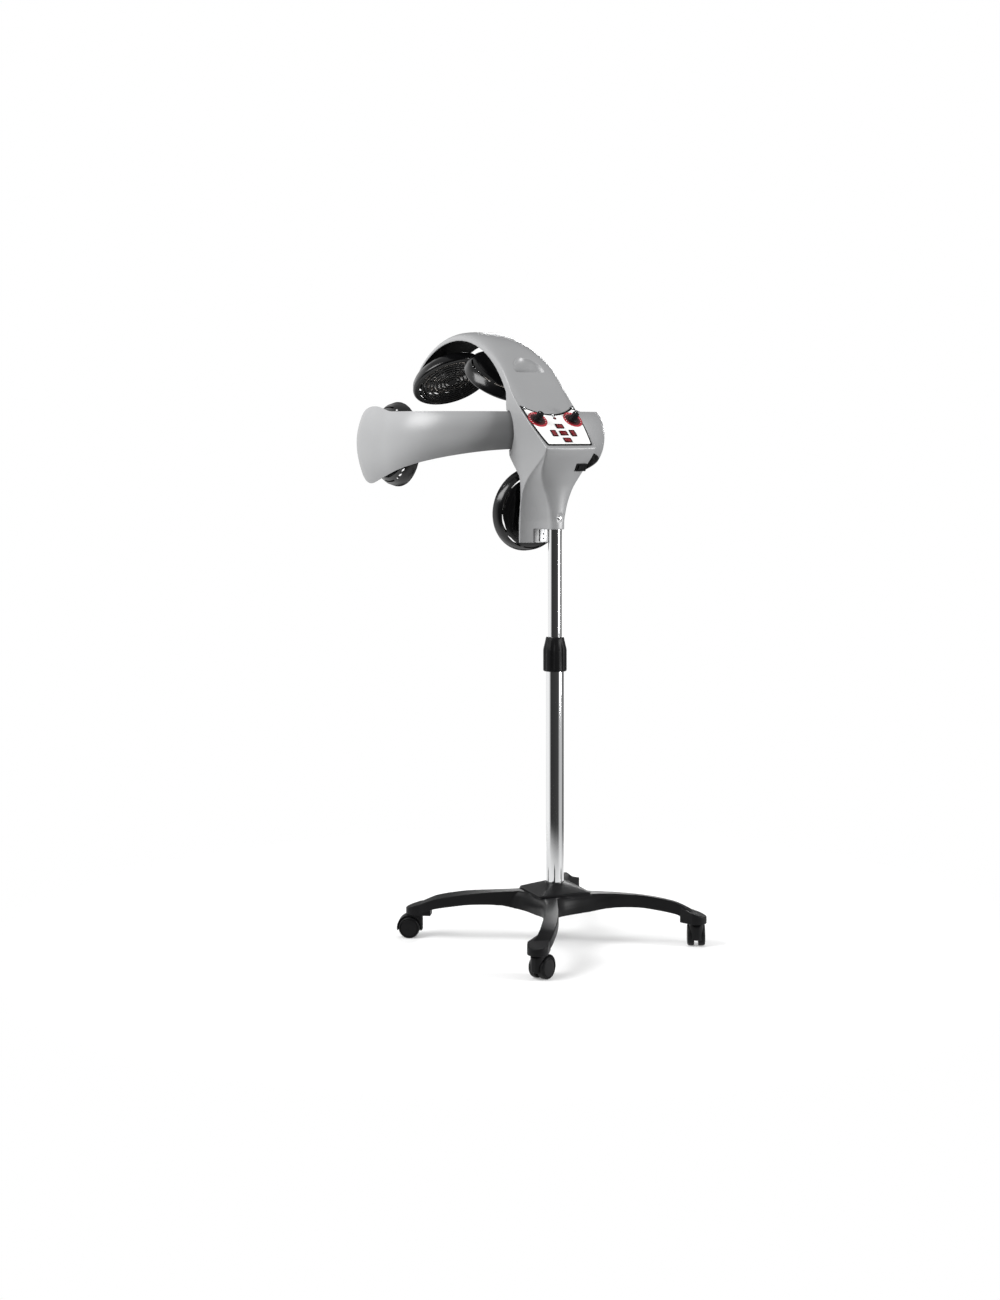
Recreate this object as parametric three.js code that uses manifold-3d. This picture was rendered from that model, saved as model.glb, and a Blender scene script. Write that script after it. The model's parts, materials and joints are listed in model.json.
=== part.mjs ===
// Hair colour processor on a rolling stand: four-leg base, telescopic mast, swivelling head
// with an arch, two swinging arms, five round heaters and a sloping control panel.
// Millimetres, +Z up. The mast axis is x = 0, y = 0; the client sits on the +Y side.
import * as THREE from "three";
import { mergeVertices } from "three/addons/utils/BufferGeometryUtils.js";
import Module from "manifold-3d";

// Clearances
const fit = 0.3; // between pieces that rest on each other
const run = 0.4; // round pins and tubes that turn or slide
const wall = 3; // moulded shells
const roundSegments = 20;

// Base: each leg bows to its left and drops away on its right where it meets the hub
const legYaw = 49; // degrees, first leg from +X
const casterCircle = 331.5;
const hubTop = 120;
const hubUnder = 78;
const legBlockRadius = 24;
const legBlockUnder = 55;
const legBlockTop = 71;
// Distance out, left edge, shoulder, right edge, top, top of the right edge, underside
const legStations = [
  [30, 12, -57, -75, 119.8, 80, 78],
  [80, 15, -26, -38, 119.5, 89, 80],
  [125, 21, -10, -15, 117, 102, 85],
  [165, 27, -2, -6, 113.5, 109, 87],
  [200, 31, 1, -2, 110.5, 109.5, 86],
  [240, 33, 3, 0, 105, 104, 81],
  [280, 31.5, 2, -1, 97, 96, 74],
  [306, 28, -3, -6, 88, 87, 66],
  [casterCircle, 20, -17, -20, 76, 75, 58],
];
const hubCoverYaw = 34; // degrees, first corner from +X
const hubCoverCorner = 92;
const hubCoverTop = 142;
const hubCoverEdge = 2; // height of its upright edge

// Casters
const wheelRadius = 25;
const wheelWidth = 16;
const wheelInset = 5; // middle plane to inner wheel face
const casterTrail = 15;
const casterYaw = [60, 143, 20, 55]; // degrees, where each wheel pair trails at rest
const hoodHalfWidth = 16.5;
const hoodRadius = 29.5;
const axleRadius = 3;
const stemRadius = 5.5;
const stemLength = 17;

// Mast
const lowerTubeRadius = 20.65;
const lowerTubeWall = 1.8;
const lowerTubeFoot = 88.3;
const lowerTubeTop = 655;
const upperTubeRadius = 15.9;
const upperTubeWall = 1.6;
const upperTubeFoot = 400;
const upperTubeTop = 1094;
const collarFoot = 637;
const collarTop = 717;
const collarRadius = 27.7;
const collarFlutes = 8;

// Head: the arch is an arc about its own centre, the heaters face the client's head centre
const archBackY = 95.6; // where the straight back of the arch starts to bend
const archBackZ = 1334;
const archEdge = 298; // radius of the lower edge
const archRise = 23; // from the lower edge up to the outer crown
const archStart = -80; // degrees from straight up, towards the panel
const archStep = 10;
const archStraight = -49.6; // behind this the crown runs straight
const archEnd = 52;
const archTipLength = 14; // degrees of rounded tip
const archTipRise = 17; // rise near the tip
const linerGap = 1; // lower edge of the arch to the liner's underside
const linerThick = 2.4;
const linerSide = 3.6; // beside the arch's inner walls
const headRaise = 21; // client's head centre above the arch centre
const archHalfRoot = 76;
const archHalfTop = 60;
const archHalfTip = 51;
const gripHalfWidth = 42;
const gripLength = 52;
const gripDepth = 15;
const gripAngle = -47.5;

// Control panel: a sloping plane, its lower edge at panelY, panelZ
const panelY = -64;
const panelZ = 1166;
const panelSlope = 43.3;
const panelHalfLow = 62.5;
const panelHalfHigh = 76;
const panelLength = 137;
const panelDip = 30;
const panelThick = 2;
const knobSpread = 50;
const knobUp = 88;
const lampUp = 92;
const rockerUp = 41;
const rockerPitchAcross = 26.5;
const rockerPitchUp = 23.5;
const rockerLength = 16.4;
const rockerWidth = 10.6;
const rockerTilt = 8; // degrees either side of level
const cupLength = 20.4;
const cupWidth = 14.2;
const clampZ = 997; // height of the clamp screw
const powerX = 40;
const powerZ = 1116;
const powerY = -49.5;
const powerTilt = 25; // degrees the rear face leans under

// Body outline by height:
// z, front half width, front y, crease half width, crease y, column half width, column depth, rear y
const bodyStations = [
  [930, 60.5, 63, 60.5, 59, 20.3, 20, -20.3],
  [985, 60.5, 63, 60.5, 57, 20.3, 20, -20.5],
  [1015, 61, 59, 61.5, 52, 27, 19, -23],
  [1045, 62.5, 52.5, 63.5, 43, 39, 17, -27],
  [1070, 63, 52, 64.5, 30, 50, 14, -32],
  [1090, 64, 52, 66, 8, 57, 11, -39],
  [1108, 66.5, 64, 67, -18, 60, 8, -46],
  [1128, 70, 78, 68.5, -45, 63, 5, -56],
  [1146, 73, 86, 69.5, -61, 67, 3, -65],
  [1164, 74, 86.5, 70.5, -68, 69, 1.5, -69.5],
  [1260, 79, 90, 79, -68, 77.5, 1.5, -69.5],
  [1330, 77, 96, 79, -68, 77.5, 1.5, -69.5],
];
const bodyFoot = 937;
const bodyRearFoot = 970;
const bodyRearStep = 36;
// Front cover by height: z, outer y
const coverStations = [
  [937, 54],
  [985, 52],
  [1045, 43],
  [1098, 41],
  [1139, 86.5],
  [1295, 91],
];

// Arms: a quarter turn out of the body, then straight forward past the heater to a rounded end
const armTurnX = 85;
const armTurnRadius = 212;
const armCrown = 14;
const armTop = 1248;
const armTopEnd = 1261;
const armLow = 1158;
const armLowEnd = 1071.5;
const armEndStart = 38; // where the rounded end starts, ahead of the heater's centre
const armEndReach = 70;
const armCoverThick = 2.5;
const hingeX = 62;
const hingeY = 73;
const hingeSetback = 5; // arm's root behind the hinge pin
const hingePinRadius = 4;
const hingeBarrel = 9.5;
const hingeSlot = 61.5; // rear end of the slot in the body side

// Heaters
const heaterRadius = 102.5;
const heaterDepth = 36;
const heaterSegments = 18;
const heaterSlots = 5;
const heaterSpokes = 5;
const spokeHalf = 2.2;
const grilleBands = [[0.72, 0.88], [0.5, 0.66], [0.28, 0.44]]; // inner and outer edge, shares of the radius
const heaterDrop = 61; // liner to rim plane, brow and crown
const heaterSpread = 34; // degrees either side of straight up
const sideHeaterGap = 62; // arm's outer face to the rim plane
const sideHeaterY = 332;
const sideHeaterZ = 1169;
const neckHeaterY = 108.5;
const neckHeaterZ = 1014.5;
const neckHeaterTilt = 10;
const postRadius = 11;
const bossRadius = 16;
const bossProud = 2; // seat of a post above the liner
const neckPostEnd = -46;
const elementRing = 62;
const elementTube = 5.5;

// Sizes that follow from those above
const archCrown = archEdge + archRise;
const archCentreY = archBackY + archCrown * Math.sin((-archStraight * Math.PI) / 180);
const archCentreZ = archBackZ - archCrown * Math.cos((-archStraight * Math.PI) / 180);
const headCentreY = archCentreY;
const headCentreZ = archCentreZ + headRaise;
const armTurnY = hingeY + armTurnRadius - hingeSetback;
const sideHeaterX = armTurnX + armTurnRadius - sideHeaterGap;
const archPostEnd = fit + bossProud - heaterDrop;

const wasm = await Module();
wasm.setup();
const rad = THREE.MathUtils.degToRad;
const mix = THREE.MathUtils.lerp;

// Turns a closed geometry into a solid, right side out
function solidOf(geometry) {
  const bare = geometry.clone();
  bare.deleteAttribute("normal");
  bare.deleteAttribute("uv");
  const merged = mergeVertices(bare, 1e-4);
  const position = new Float32Array(merged.attributes.position.array);
  const index = new Uint32Array(merged.index.array);
  let volume = 0;
  const corner = [0, 1, 2].map(() => new THREE.Vector3());
  for (let i = 0; i < index.length; i += 3) {
    corner.forEach((c, k) => c.fromArray(position, 3 * index[i + k]));
    volume += corner[0].dot(corner[1].cross(corner[2]));
  }
  if (volume < 0) {
    for (let i = 0; i < index.length; i += 3) {
      const first = index[i];
      index[i] = index[i + 1];
      index[i + 1] = first;
    }
  }
  const mesh = new wasm.Mesh({ numProp: 3, vertProperties: position, triVerts: index });
  return new wasm.Manifold(mesh);
}

function geometryOf(solid) {
  const mesh = solid.getMesh();
  const geometry = new THREE.BufferGeometry();
  const position = new Float32Array((mesh.vertProperties.length / mesh.numProp) * 3);
  for (let i = 0; i < position.length / 3; i += 1) {
    position.set(mesh.vertProperties.subarray(i * mesh.numProp, i * mesh.numProp + 3), 3 * i);
  }
  geometry.setAttribute("position", new THREE.BufferAttribute(position, 3));
  geometry.setIndex(new THREE.BufferAttribute(new Uint32Array(mesh.triVerts), 1));
  geometry.computeVertexNormals();
  return geometry;
}

function join(...solids) {
  return solids.reduce((all, one) => all.add(one));
}

function cut(solid, ...tools) {
  return tools.reduce((left, tool) => left.subtract(tool), solid);
}

// Solid of revolution about Z from [radius, height] points
function turned(points, segments = roundSegments, matrix = null) {
  const profile = points.map(([r, h]) => new THREE.Vector2(r, h));
  const last = points[points.length - 1];
  if (points[0][0] > 0 || last[0] > 0) profile.push(profile[0].clone());
  const geometry = new THREE.LatheGeometry(profile, segments).rotateX(Math.PI / 2);
  if (matrix) geometry.applyMatrix4(matrix);
  return solidOf(geometry);
}

function rod(radius, low, high, matrix = null, segments = roundSegments) {
  return turned([[0, low], [radius, low], [radius, high], [0, high]], segments, matrix);
}

function box(x0, x1, y0, y1, z0, z1, matrix = null) {
  const geometry = new THREE.BoxGeometry(x1 - x0, y1 - y0, z1 - z0);
  geometry.translate((x0 + x1) / 2, (y0 + y1) / 2, (z0 + z1) / 2);
  if (matrix) geometry.applyMatrix4(matrix);
  return solidOf(geometry);
}

function prism(shape, low, high, matrix = null, curveSegments = 8) {
  const options = { depth: high - low, bevelEnabled: false, curveSegments };
  const geometry = new THREE.ExtrudeGeometry(shape, options).translate(0, 0, low);
  if (matrix) geometry.applyMatrix4(matrix);
  return solidOf(geometry);
}

function outline(points) {
  return new THREE.Shape(points.map(([x, y]) => new THREE.Vector2(x, y)));
}

// Triangles that close a flat ring, wound the way the ring runs
function capOf(ring) {
  const normal = new THREE.Vector3();
  ring.forEach((p, i) => {
    normal.add(new THREE.Vector3().crossVectors(p, ring[(i + 1) % ring.length]));
  });
  normal.normalize();
  const across = new THREE.Vector3().subVectors(ring[1], ring[0]).normalize();
  const up = new THREE.Vector3().crossVectors(normal, across);
  const flat = ring.map((p) => new THREE.Vector2(p.dot(across), p.dot(up)));
  return THREE.ShapeUtils.triangulateShape(flat, []).map(([a, b, c]) => {
    const turn = (flat[b].x - flat[a].x) * (flat[c].y - flat[a].y);
    const back = (flat[b].y - flat[a].y) * (flat[c].x - flat[a].x);
    return turn - back > 0 ? [a, b, c] : [a, c, b];
  });
}

// Skins a row of rings that all have the same number of points
function loft(rings) {
  const count = rings[0].length;
  const index = [];
  for (let i = 0; i < rings.length - 1; i += 1) {
    for (let j = 0; j < count; j += 1) {
      const a = i * count + j;
      const b = i * count + ((j + 1) % count);
      index.push(a, b, b + count, a, b + count, a + count);
    }
  }
  const end = (rings.length - 1) * count;
  capOf(rings[0]).forEach(([a, b, c]) => index.push(a, c, b));
  capOf(rings[rings.length - 1]).forEach(([a, b, c]) => index.push(end + a, end + b, end + c));
  const geometry = new THREE.BufferGeometry();
  const position = rings.flat().flatMap((p) => [p.x, p.y, p.z]);
  geometry.setAttribute("position", new THREE.Float32BufferAttribute(position, 3));
  geometry.setIndex(index);
  return solidOf(geometry);
}

// Frame with its own +Z along the given direction and +X kept level
function facing(origin, direction) {
  const z = direction.clone().normalize();
  const x = new THREE.Vector3(0, 0, 1).cross(z);
  if (x.lengthSq() < 1e-9) x.set(1, 0, 0);
  x.normalize();
  const y = new THREE.Vector3().crossVectors(z, x);
  return new THREE.Matrix4().makeBasis(x, y, z).setPosition(origin);
}

const material = {
  shell: () => new THREE.MeshStandardMaterial({ color: 0x8f9092, roughness: 0.45 }),
  black: () => new THREE.MeshStandardMaterial({ color: 0x1b1b1c, roughness: 0.6 }),
  gloss: () => new THREE.MeshStandardMaterial({ color: 0x141415, roughness: 0.2 }),
  chrome: () => new THREE.MeshStandardMaterial({ color: 0xd6d8da, metalness: 1, roughness: 0.12 }),
  steel: () => new THREE.MeshStandardMaterial({ color: 0xa9acaf, metalness: 1, roughness: 0.4 }),
  white: () => new THREE.MeshStandardMaterial({ color: 0xf1f1ef, roughness: 0.4 }),
  red: () => new THREE.MeshStandardMaterial({ color: 0xc8141c, roughness: 0.3 }),
  element: () => new THREE.MeshStandardMaterial({ color: 0xc9c2b6, roughness: 0.5 }),
  board: () => new THREE.MeshStandardMaterial({ color: 0x1f5f3a, roughness: 0.6 }),
};

const assembly = new THREE.Group();

function addPiece(name, finish, solid, parent = assembly) {
  const mesh = new THREE.Mesh(geometryOf(solid.asOriginal().simplify(0.02)), material[finish]());
  mesh.name = name;
  parent.add(mesh);
  return mesh;
}

// Base: four lofted legs with round end blocks on a square hub
function hubOutline(corner) {
  return Array.from({ length: 4 }, (_, i) => {
    const angle = rad(hubCoverYaw + 90 * i);
    return [corner * Math.cos(angle), corner * Math.sin(angle)];
  });
}

function baseLeg() {
  const rings = legStations.map(([out, left, shoulder, right, top, rightTop, under]) => [
    new THREE.Vector3(out, right, under),
    new THREE.Vector3(out, right, rightTop),
    new THREE.Vector3(out, shoulder, top),
    new THREE.Vector3(out, left, top),
    new THREE.Vector3(out, left, under),
  ]);
  const r = legBlockRadius;
  const end = new THREE.Matrix4().makeTranslation(casterCircle, 0, 0);
  const block = turned([
    [0, legBlockUnder], [r, legBlockUnder], [r, legBlockTop],
    [0.75 * r, legBlockTop + 6], [0, legBlockTop + 8],
  ], 12, end);
  const socket = rod(stemRadius + run, 40, legBlockUnder + stemLength + 1, end, 12);
  return cut(join(loft(rings), block), socket);
}

function baseStar() {
  const leg = geometryOf(baseLeg());
  const legs = casterYaw.map((yaw, i) => {
    return solidOf(leg.clone().rotateZ(rad(legYaw + 90 * i)));
  });
  const hub = prism(outline(hubOutline(hubCoverCorner - 1)), hubUnder, hubTop);
  const above = box(-200, 200, -200, 200, hubTop, 200);
  const bore = rod(lowerTubeRadius + fit, lowerTubeFoot - fit, 200);
  const boltHole = rod(5.5, 0, 200, null, 12);
  return cut(join(hub, ...legs), above, bore, boltHole);
}

// Hub cover: a square foot drawn up in a hollow curve to a round neck
function hubCover() {
  const perSide = 4;
  const corners = hubOutline(hubCoverCorner);
  const foot = corners.flatMap(([x, y], i) => {
    const [nextX, nextY] = corners[(i + 1) % 4];
    return Array.from({ length: perSide }, (_, k) => {
      return new THREE.Vector2(mix(x, nextX, k / perSide), mix(y, nextY, k / perSide));
    });
  });
  const neck = lowerTubeRadius + 4;
  const ring = (share, z) => foot.map((p) => {
    const scale = mix(1, neck / p.length(), share);
    return new THREE.Vector3(p.x * scale, p.y * scale, z);
  });
  const low = hubTop + fit;
  const rise = hubCoverTop - low - hubCoverEdge;
  const rings = [ring(0, low)];
  [0, 0.3, 0.6, 0.85, 1].forEach((s) => rings.push(ring(s, low + hubCoverEdge + rise * s ** 1.8)));
  return cut(loft(rings), rod(lowerTubeRadius + fit, 100, 200));
}

// Casters, each in its own frame: swivel axis on Z, the wheels trail along +X
function casterHood() {
  const points = [[-16, 17], [-16, 48], [-11, 54.6], [casterTrail, wheelRadius + hoodRadius]];
  for (let a = 72; a >= -12; a -= 21) {
    const x = casterTrail + hoodRadius * Math.cos(rad(a));
    points.push([x, wheelRadius + hoodRadius * Math.sin(rad(a))]);
  }
  points.push([casterTrail + 16, 17]);
  const upright = new THREE.Matrix4().makeRotationX(Math.PI / 2);
  const plan = [...arcPoints(hoodHalfWidth, 90, 270, 6), [60, -hoodHalfWidth], [60, hoodHalfWidth]];
  const nose = prism(outline(plan), 0, 80);
  const side = prism(outline(points), -hoodHalfWidth, hoodHalfWidth, upright).intersect(nose);
  const across = new THREE.Matrix4().makeRotationX(Math.PI / 2).setPosition(casterTrail, 0, wheelRadius);
  const inner = wheelInset - 0.8;
  const wells = [[inner, 40], [-40, -inner]].map(([a, b]) => rod(wheelRadius + 1.6, a, b, across, 14));
  const bore = rod(axleRadius + run, -40, 40, across, 8);
  return cut(join(side, rod(stemRadius, 50, legBlockUnder + stemLength, null, 12)), ...wells, bore);
}

function wheelPair() {
  const segments = 14;
  const step = Math.PI / segments;
  const r = wheelRadius / Math.cos(step);
  const across = new THREE.Matrix4().makeRotationX(Math.PI / 2).setPosition(casterTrail, 0, wheelRadius);
  const flatDown = new THREE.Matrix4().multiplyMatrices(across, new THREE.Matrix4().makeRotationZ(step));
  const wheel = (side) => turned([
    [0, 0], [r, 0], [r, wheelWidth - 2.5], [r - 3, wheelWidth], [0, wheelWidth],
  ].map(([a, h]) => [a, side * (wheelInset + h)]), segments, flatDown);
  return join(wheel(1), wheel(-1), rod(axleRadius, -10, 10, across, 8));
}

addPiece("base_star", "black", baseStar());
addPiece("hub_cover", "black", hubCover());
const hood = casterHood();
const wheels = wheelPair();
casterYaw.forEach((yaw, leg) => {
  const angle = rad(legYaw + 90 * leg);
  const place = new THREE.Group();
  place.position.set(casterCircle * Math.cos(angle), casterCircle * Math.sin(angle), 0);
  place.rotation.z = rad(yaw);
  addPiece(`caster_hood_${leg + 1}`, "black", hood, place);
  addPiece(`caster_wheels_${leg + 1}`, "black", wheels, place);
  assembly.add(place);
});

// Mast
const tubeBore = lowerTubeRadius - lowerTubeWall;
addPiece("lower_tube", "chrome", turned([
  [5.4, lowerTubeFoot], [lowerTubeRadius, lowerTubeFoot], [lowerTubeRadius, lowerTubeTop],
  [tubeBore, lowerTubeTop], [tubeBore, lowerTubeFoot + 22], [5.4, lowerTubeFoot + 22],
]));
addPiece("tube_bolt", "steel", turned([
  [0, hubUnder - 7], [9, hubUnder - 7], [9, hubUnder - fit], [5, hubUnder - fit],
  [5, lowerTubeFoot + 18], [0, lowerTubeFoot + 18],
], 12));
addPiece("guide_bush", "black", turned([
  [upperTubeRadius + run, lowerTubeTop - 55], [tubeBore - fit, lowerTubeTop - 55],
  [tubeBore - fit, lowerTubeTop + fit], [lowerTubeRadius, lowerTubeTop + fit],
  [lowerTubeRadius, lowerTubeTop + 6], [tubeBore - fit, lowerTubeTop + 6],
  [tubeBore - fit, collarTop - 17], [upperTubeRadius + run, collarTop - 17],
], 16));
addPiece("upper_tube", "chrome", turned([
  [upperTubeRadius, upperTubeFoot], [upperTubeRadius, upperTubeTop],
  [upperTubeRadius - upperTubeWall, upperTubeTop], [upperTubeRadius - upperTubeWall, upperTubeFoot],
]));
const glidePlug = upperTubeRadius - upperTubeWall - fit;
addPiece("tube_glide", "black", turned([
  [0, upperTubeFoot - 12], [tubeBore - run, upperTubeFoot - 12], [tubeBore - run, upperTubeFoot - fit],
  [glidePlug, upperTubeFoot - fit], [glidePlug, upperTubeFoot + 24], [0, upperTubeFoot + 24],
]));

function lockCollar() {
  const count = collarFlutes * 3;
  const ring = (radius, depth, z) => Array.from({ length: count }, (_, i) => {
    const angle = (2 * Math.PI * i) / count;
    const lobe = [1, 0.1, 0.1][i % 3];
    const r = radius - depth * lobe;
    return new THREE.Vector3(r * Math.cos(angle), r * Math.sin(angle), z);
  });
  const tall = collarTop - collarFoot;
  const body = loft([
    ring(collarRadius - 2, 0.6, collarFoot),
    ring(collarRadius, 1.8, collarFoot + 3),
    ring(collarRadius, 1.8, collarFoot + 0.62 * tall),
    ring(collarRadius - 3, 1.8, collarFoot + 0.85 * tall),
    ring(collarRadius - 8, 0.4, collarTop),
  ]);
  const over = rod(lowerTubeRadius + run, collarFoot - 1, lowerTubeTop + 9);
  const middle = rod(tubeBore - fit + run, lowerTubeTop + 8, collarTop - 14);
  return cut(body, over, middle, rod(upperTubeRadius + run, collarFoot, collarTop + 1));
}
addPiece("lock_collar", "black", lockCollar());

// Head shell: the arch
function archHalf(angle) {
  const bend = (archHalfRoot + archHalfTip) / 2 - archHalfTop;
  const t = Math.max(angle, -55) / 60;
  return archHalfTop + ((archHalfTip - archHalfRoot) / 2) * t + bend * t * t;
}

function archTip(angle) {
  const into = Math.max(0, (angle - archEnd + archTipLength) / archTipLength);
  return Math.sqrt(Math.max(0, 1 - into * into));
}

function archCrownAt(angle) {
  const past = Math.max(0, archStraight - angle);
  return archCrown / Math.cos(rad(past));
}

function archPoint(x, radius, angle) {
  const y = archCentreY + radius * Math.sin(rad(angle));
  return new THREE.Vector3(x, y, archCentreZ + radius * Math.cos(rad(angle)));
}

function archAngles(first, lastShare) {
  const angles = [];
  for (let a = archStart; a < archEnd - archTipLength - 4; a += archStep) angles.push(a);
  [0, 0.4, 0.7, 0.88, 0.97].forEach((s) => {
    if (s <= lastShare) angles.push(archEnd - archTipLength * (1 - s));
  });
  return angles.filter((a) => a >= first);
}

function archSolid(inset, foot, lastShare, steps) {
  const rings = archAngles(archStart, lastShare).map((angle) => {
    const tip = archTip(angle);
    const half = archHalf(angle) * tip - inset;
    const slim = (archRise - archTipRise) * THREE.MathUtils.smoothstep(angle, 0, archEnd);
    const rise = (archCrownAt(angle) - archEdge - slim) * mix(1, tip, 0.75) - inset;
    return Array.from({ length: steps + 1 }, (_, i) => {
      const t = (Math.PI * i) / steps;
      const x = half * Math.sign(Math.cos(t)) * Math.abs(Math.cos(t)) ** 0.75;
      const up = rise * Math.sin(t) ** 0.75;
      return archPoint(x, i === 0 || i === steps ? archEdge - foot : archEdge + up, angle);
    });
  });
  return loft(rings);
}

// Head shell: the body, skinned through level outlines
function bodyRing(station, inset, frontGrow) {
  const [z, frontHalf, frontY, creaseHalf, creaseY, columnHalf, depth, rearY] = station;
  const front = [frontHalf - inset, frontY + frontGrow];
  const crease = [creaseHalf - inset, creaseY + inset];
  const column = [columnHalf - inset, rearY + depth + 0.6 * inset];
  const rear = rearY + inset;
  const half = [front, [mix(front[0], crease[0], 0.5), mix(front[1], crease[1], 0.5)], crease];
  const pull = [mix(crease[0], column[0], 0.72), mix(crease[1], column[1], 0.3)];
  [0.35, 0.75].forEach((t) => {
    const blend = (k) => (1 - t) ** 2 * crease[k] + 2 * t * (1 - t) * pull[k] + t * t * column[k];
    half.push([blend(0), blend(1)]);
  });
  [0, 45].forEach((a) => {
    const drop = column[1] - rear;
    half.push([column[0] * Math.cos(rad(a)), column[1] - drop * Math.sin(rad(a))]);
  });
  const ring = half.map(([x, y]) => new THREE.Vector3(x, y, z));
  ring.push(new THREE.Vector3(0, rear, z));
  half.slice().reverse().forEach(([x, y]) => ring.push(new THREE.Vector3(-x, y, z)));
  return ring;
}

function bodySolid(inset, frontGrow) {
  return loft(bodyStations.map((station) => bodyRing(station, inset, frontGrow)));
}

// Panel frame: +X across, +Y up the slope, +Z out of the face
const panelOut = new THREE.Vector3(0, -Math.sin(rad(panelSlope)), Math.cos(rad(panelSlope)));
const panelFrame = new THREE.Matrix4().makeRotationX(rad(panelSlope)).setPosition(0, panelY, panelZ);
const powerFrame = new THREE.Matrix4()
  .makeRotationX(rad(90 + powerTilt))
  .setPosition(powerX, powerY, powerZ);
const rockerPlaces = {
  brow: [0, rockerUp + rockerPitchUp, 0],
  left: [-rockerPitchAcross, rockerUp, 90],
  crown: [0, rockerUp, 0],
  right: [rockerPitchAcross, rockerUp, 90],
  neck: [0, rockerUp - rockerPitchUp, 0],
};

const clampFrame = facing(new THREE.Vector3(0, 0, clampZ), new THREE.Vector3(0, -1, 0));

function gripFrame() {
  const foot = archPoint(0, archCrownAt(gripAngle), gripAngle);
  const out = new THREE.Vector3(0, Math.sin(rad(gripAngle)), Math.cos(rad(gripAngle)));
  return facing(foot, out);
}

function gripScoop(grow) {
  const ball = new THREE.SphereGeometry(1, 16, 8);
  ball.scale(gripHalfWidth + grow, gripLength + grow, gripDepth + grow);
  const frame = gripFrame();
  const ledge = box(-200, 200, -200, -grow, -200, 200, frame);
  ball.applyMatrix4(frame);
  return solidOf(ball).subtract(ledge);
}

function headShell() {
  const tall = 400;
  const above = box(-200, 200, -200, 400, 0, tall, panelFrame);
  const aboveInside = box(-200, 200, -200, 400, -wall, tall, panelFrame);
  const below = box(-200, 200, -200, 200, 800, bodyFoot);
  const belowRear = box(-200, 200, -200, bodyRearStep, 800, bodyRearFoot);
  const arch = archSolid(0, 0, 1, 8);
  const body = cut(bodySolid(0, 0), above, below, belowRear);
  const outer = join(arch, body);
  const inner = join(archSolid(wall, 4, 0.75, 6), cut(bodySolid(wall, 1), aboveInside));
  const cup = gripScoop(wall).intersect(outer);
  const shell = join(cut(outer, inner), cup).subtract(gripScoop(0));
  const lugs = [];
  const slots = [];
  [-1, 1].forEach((side) => {
    const x = [side * (hingeX - 11), side * (hingeX + 40)].sort((a, b) => a - b);
    const place = new THREE.Matrix4().makeTranslation(side * hingeX, hingeY, 0);
    const hole = rod(hingePinRadius + fit, 1000, 1400, place, 12);
    [[armLow - 11, armLow - 4], [armTop + 4, armTop + 11]].forEach(([a, b]) => {
      const lug = box(x[0], x[1], hingeY - 11, hingeY + 6, a, b);
      lugs.push(lug.intersect(body).subtract(hole));
    });
    const slot = [side * (hingeX - 2), side * 100].sort((a, b) => a - b);
    slots.push(box(slot[0], slot[1], hingeSlot, 120, armLow - 3.5, armTop + 3.5));
  });
  const holes = [
    box(-rockerPitchAcross - 13, rockerPitchAcross + 13, rockerUp - 36, rockerUp + 36, -20, 20, panelFrame),
    rod(4.2, -20, 20, placed(-knobSpread, knobUp), 12),
    rod(4.2, -20, 20, placed(knobSpread, knobUp), 12),
    rod(2.9, -20, 20, placed(0, lampUp), 12),
    rod(upperTubeRadius + run, 900, 1001),
    rod(upperTubeRadius + 3.4, 1000, 1110),
    box(-14.8, 14.8, -9.8, 9.8, -0.8, 10, powerFrame),
    box(-12.8, 12.8, -7.8, 7.8, -30, 10, powerFrame),
    rod(4.6, 0, 60, clampFrame, 12),
  ];
  return cut(join(shell, ...lugs), ...slots, ...holes);
}

function placed(u, v, turn = 0) {
  const local = new THREE.Matrix4().makeRotationZ(rad(turn)).setPosition(u, v, 0);
  return new THREE.Matrix4().multiplyMatrices(panelFrame, local);
}

function archLiner() {
  const low = archEdge + linerGap;
  const high = low + linerThick;
  const rings = [];
  archAngles(-52, 0.75).forEach((a) => {
    const half = archHalf(a) * archTip(a) - wall - linerSide;
    const corners = [[-half, low], [half, low], [half, high], [-half, high]];
    rings.push(corners.map(([x, r]) => archPoint(x, r, a)));
  });
  const bosses = ["brow", "crown"].map((name) => {
    return rod(bossRadius, -heaterDrop - 16, bossProud - heaterDrop, heaterFrames[name], 14);
  });
  const hollow = rod(high, -30, 30, archAxis(), 36);
  return join(loft(rings), ...bosses.map((boss) => boss.intersect(hollow)));
}

function archAxis() {
  const across = new THREE.Matrix4().makeRotationY(Math.PI / 2);
  return across.setPosition(0, archCentreY, archCentreZ);
}

// Heater frames: origin on the rim plane, +Z towards the client's head
function archHeater(angle) {
  const out = new THREE.Vector3(0, Math.sin(rad(angle)), Math.cos(rad(angle)));
  const rise = headRaise * Math.cos(rad(angle));
  const toLiner = Math.sqrt((archEdge + linerGap) ** 2 - headRaise ** 2 + rise ** 2) - rise;
  const head = new THREE.Vector3(0, headCentreY, headCentreZ);
  return facing(head.addScaledVector(out, toLiner - heaterDrop), out.negate());
}
const neckOut = new THREE.Vector3(0, Math.cos(rad(neckHeaterTilt)), Math.sin(rad(neckHeaterTilt)));
const sideHeater = (side) => facing(
  new THREE.Vector3(side * sideHeaterX, sideHeaterY, sideHeaterZ),
  new THREE.Vector3(-side, 0, 0),
);
const heaterFrames = {
  brow: archHeater(heaterSpread),
  crown: archHeater(-heaterSpread),
  neck: facing(new THREE.Vector3(0, neckHeaterY, neckHeaterZ), neckOut),
  left: sideHeater(-1),
  right: sideHeater(1),
};

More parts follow.
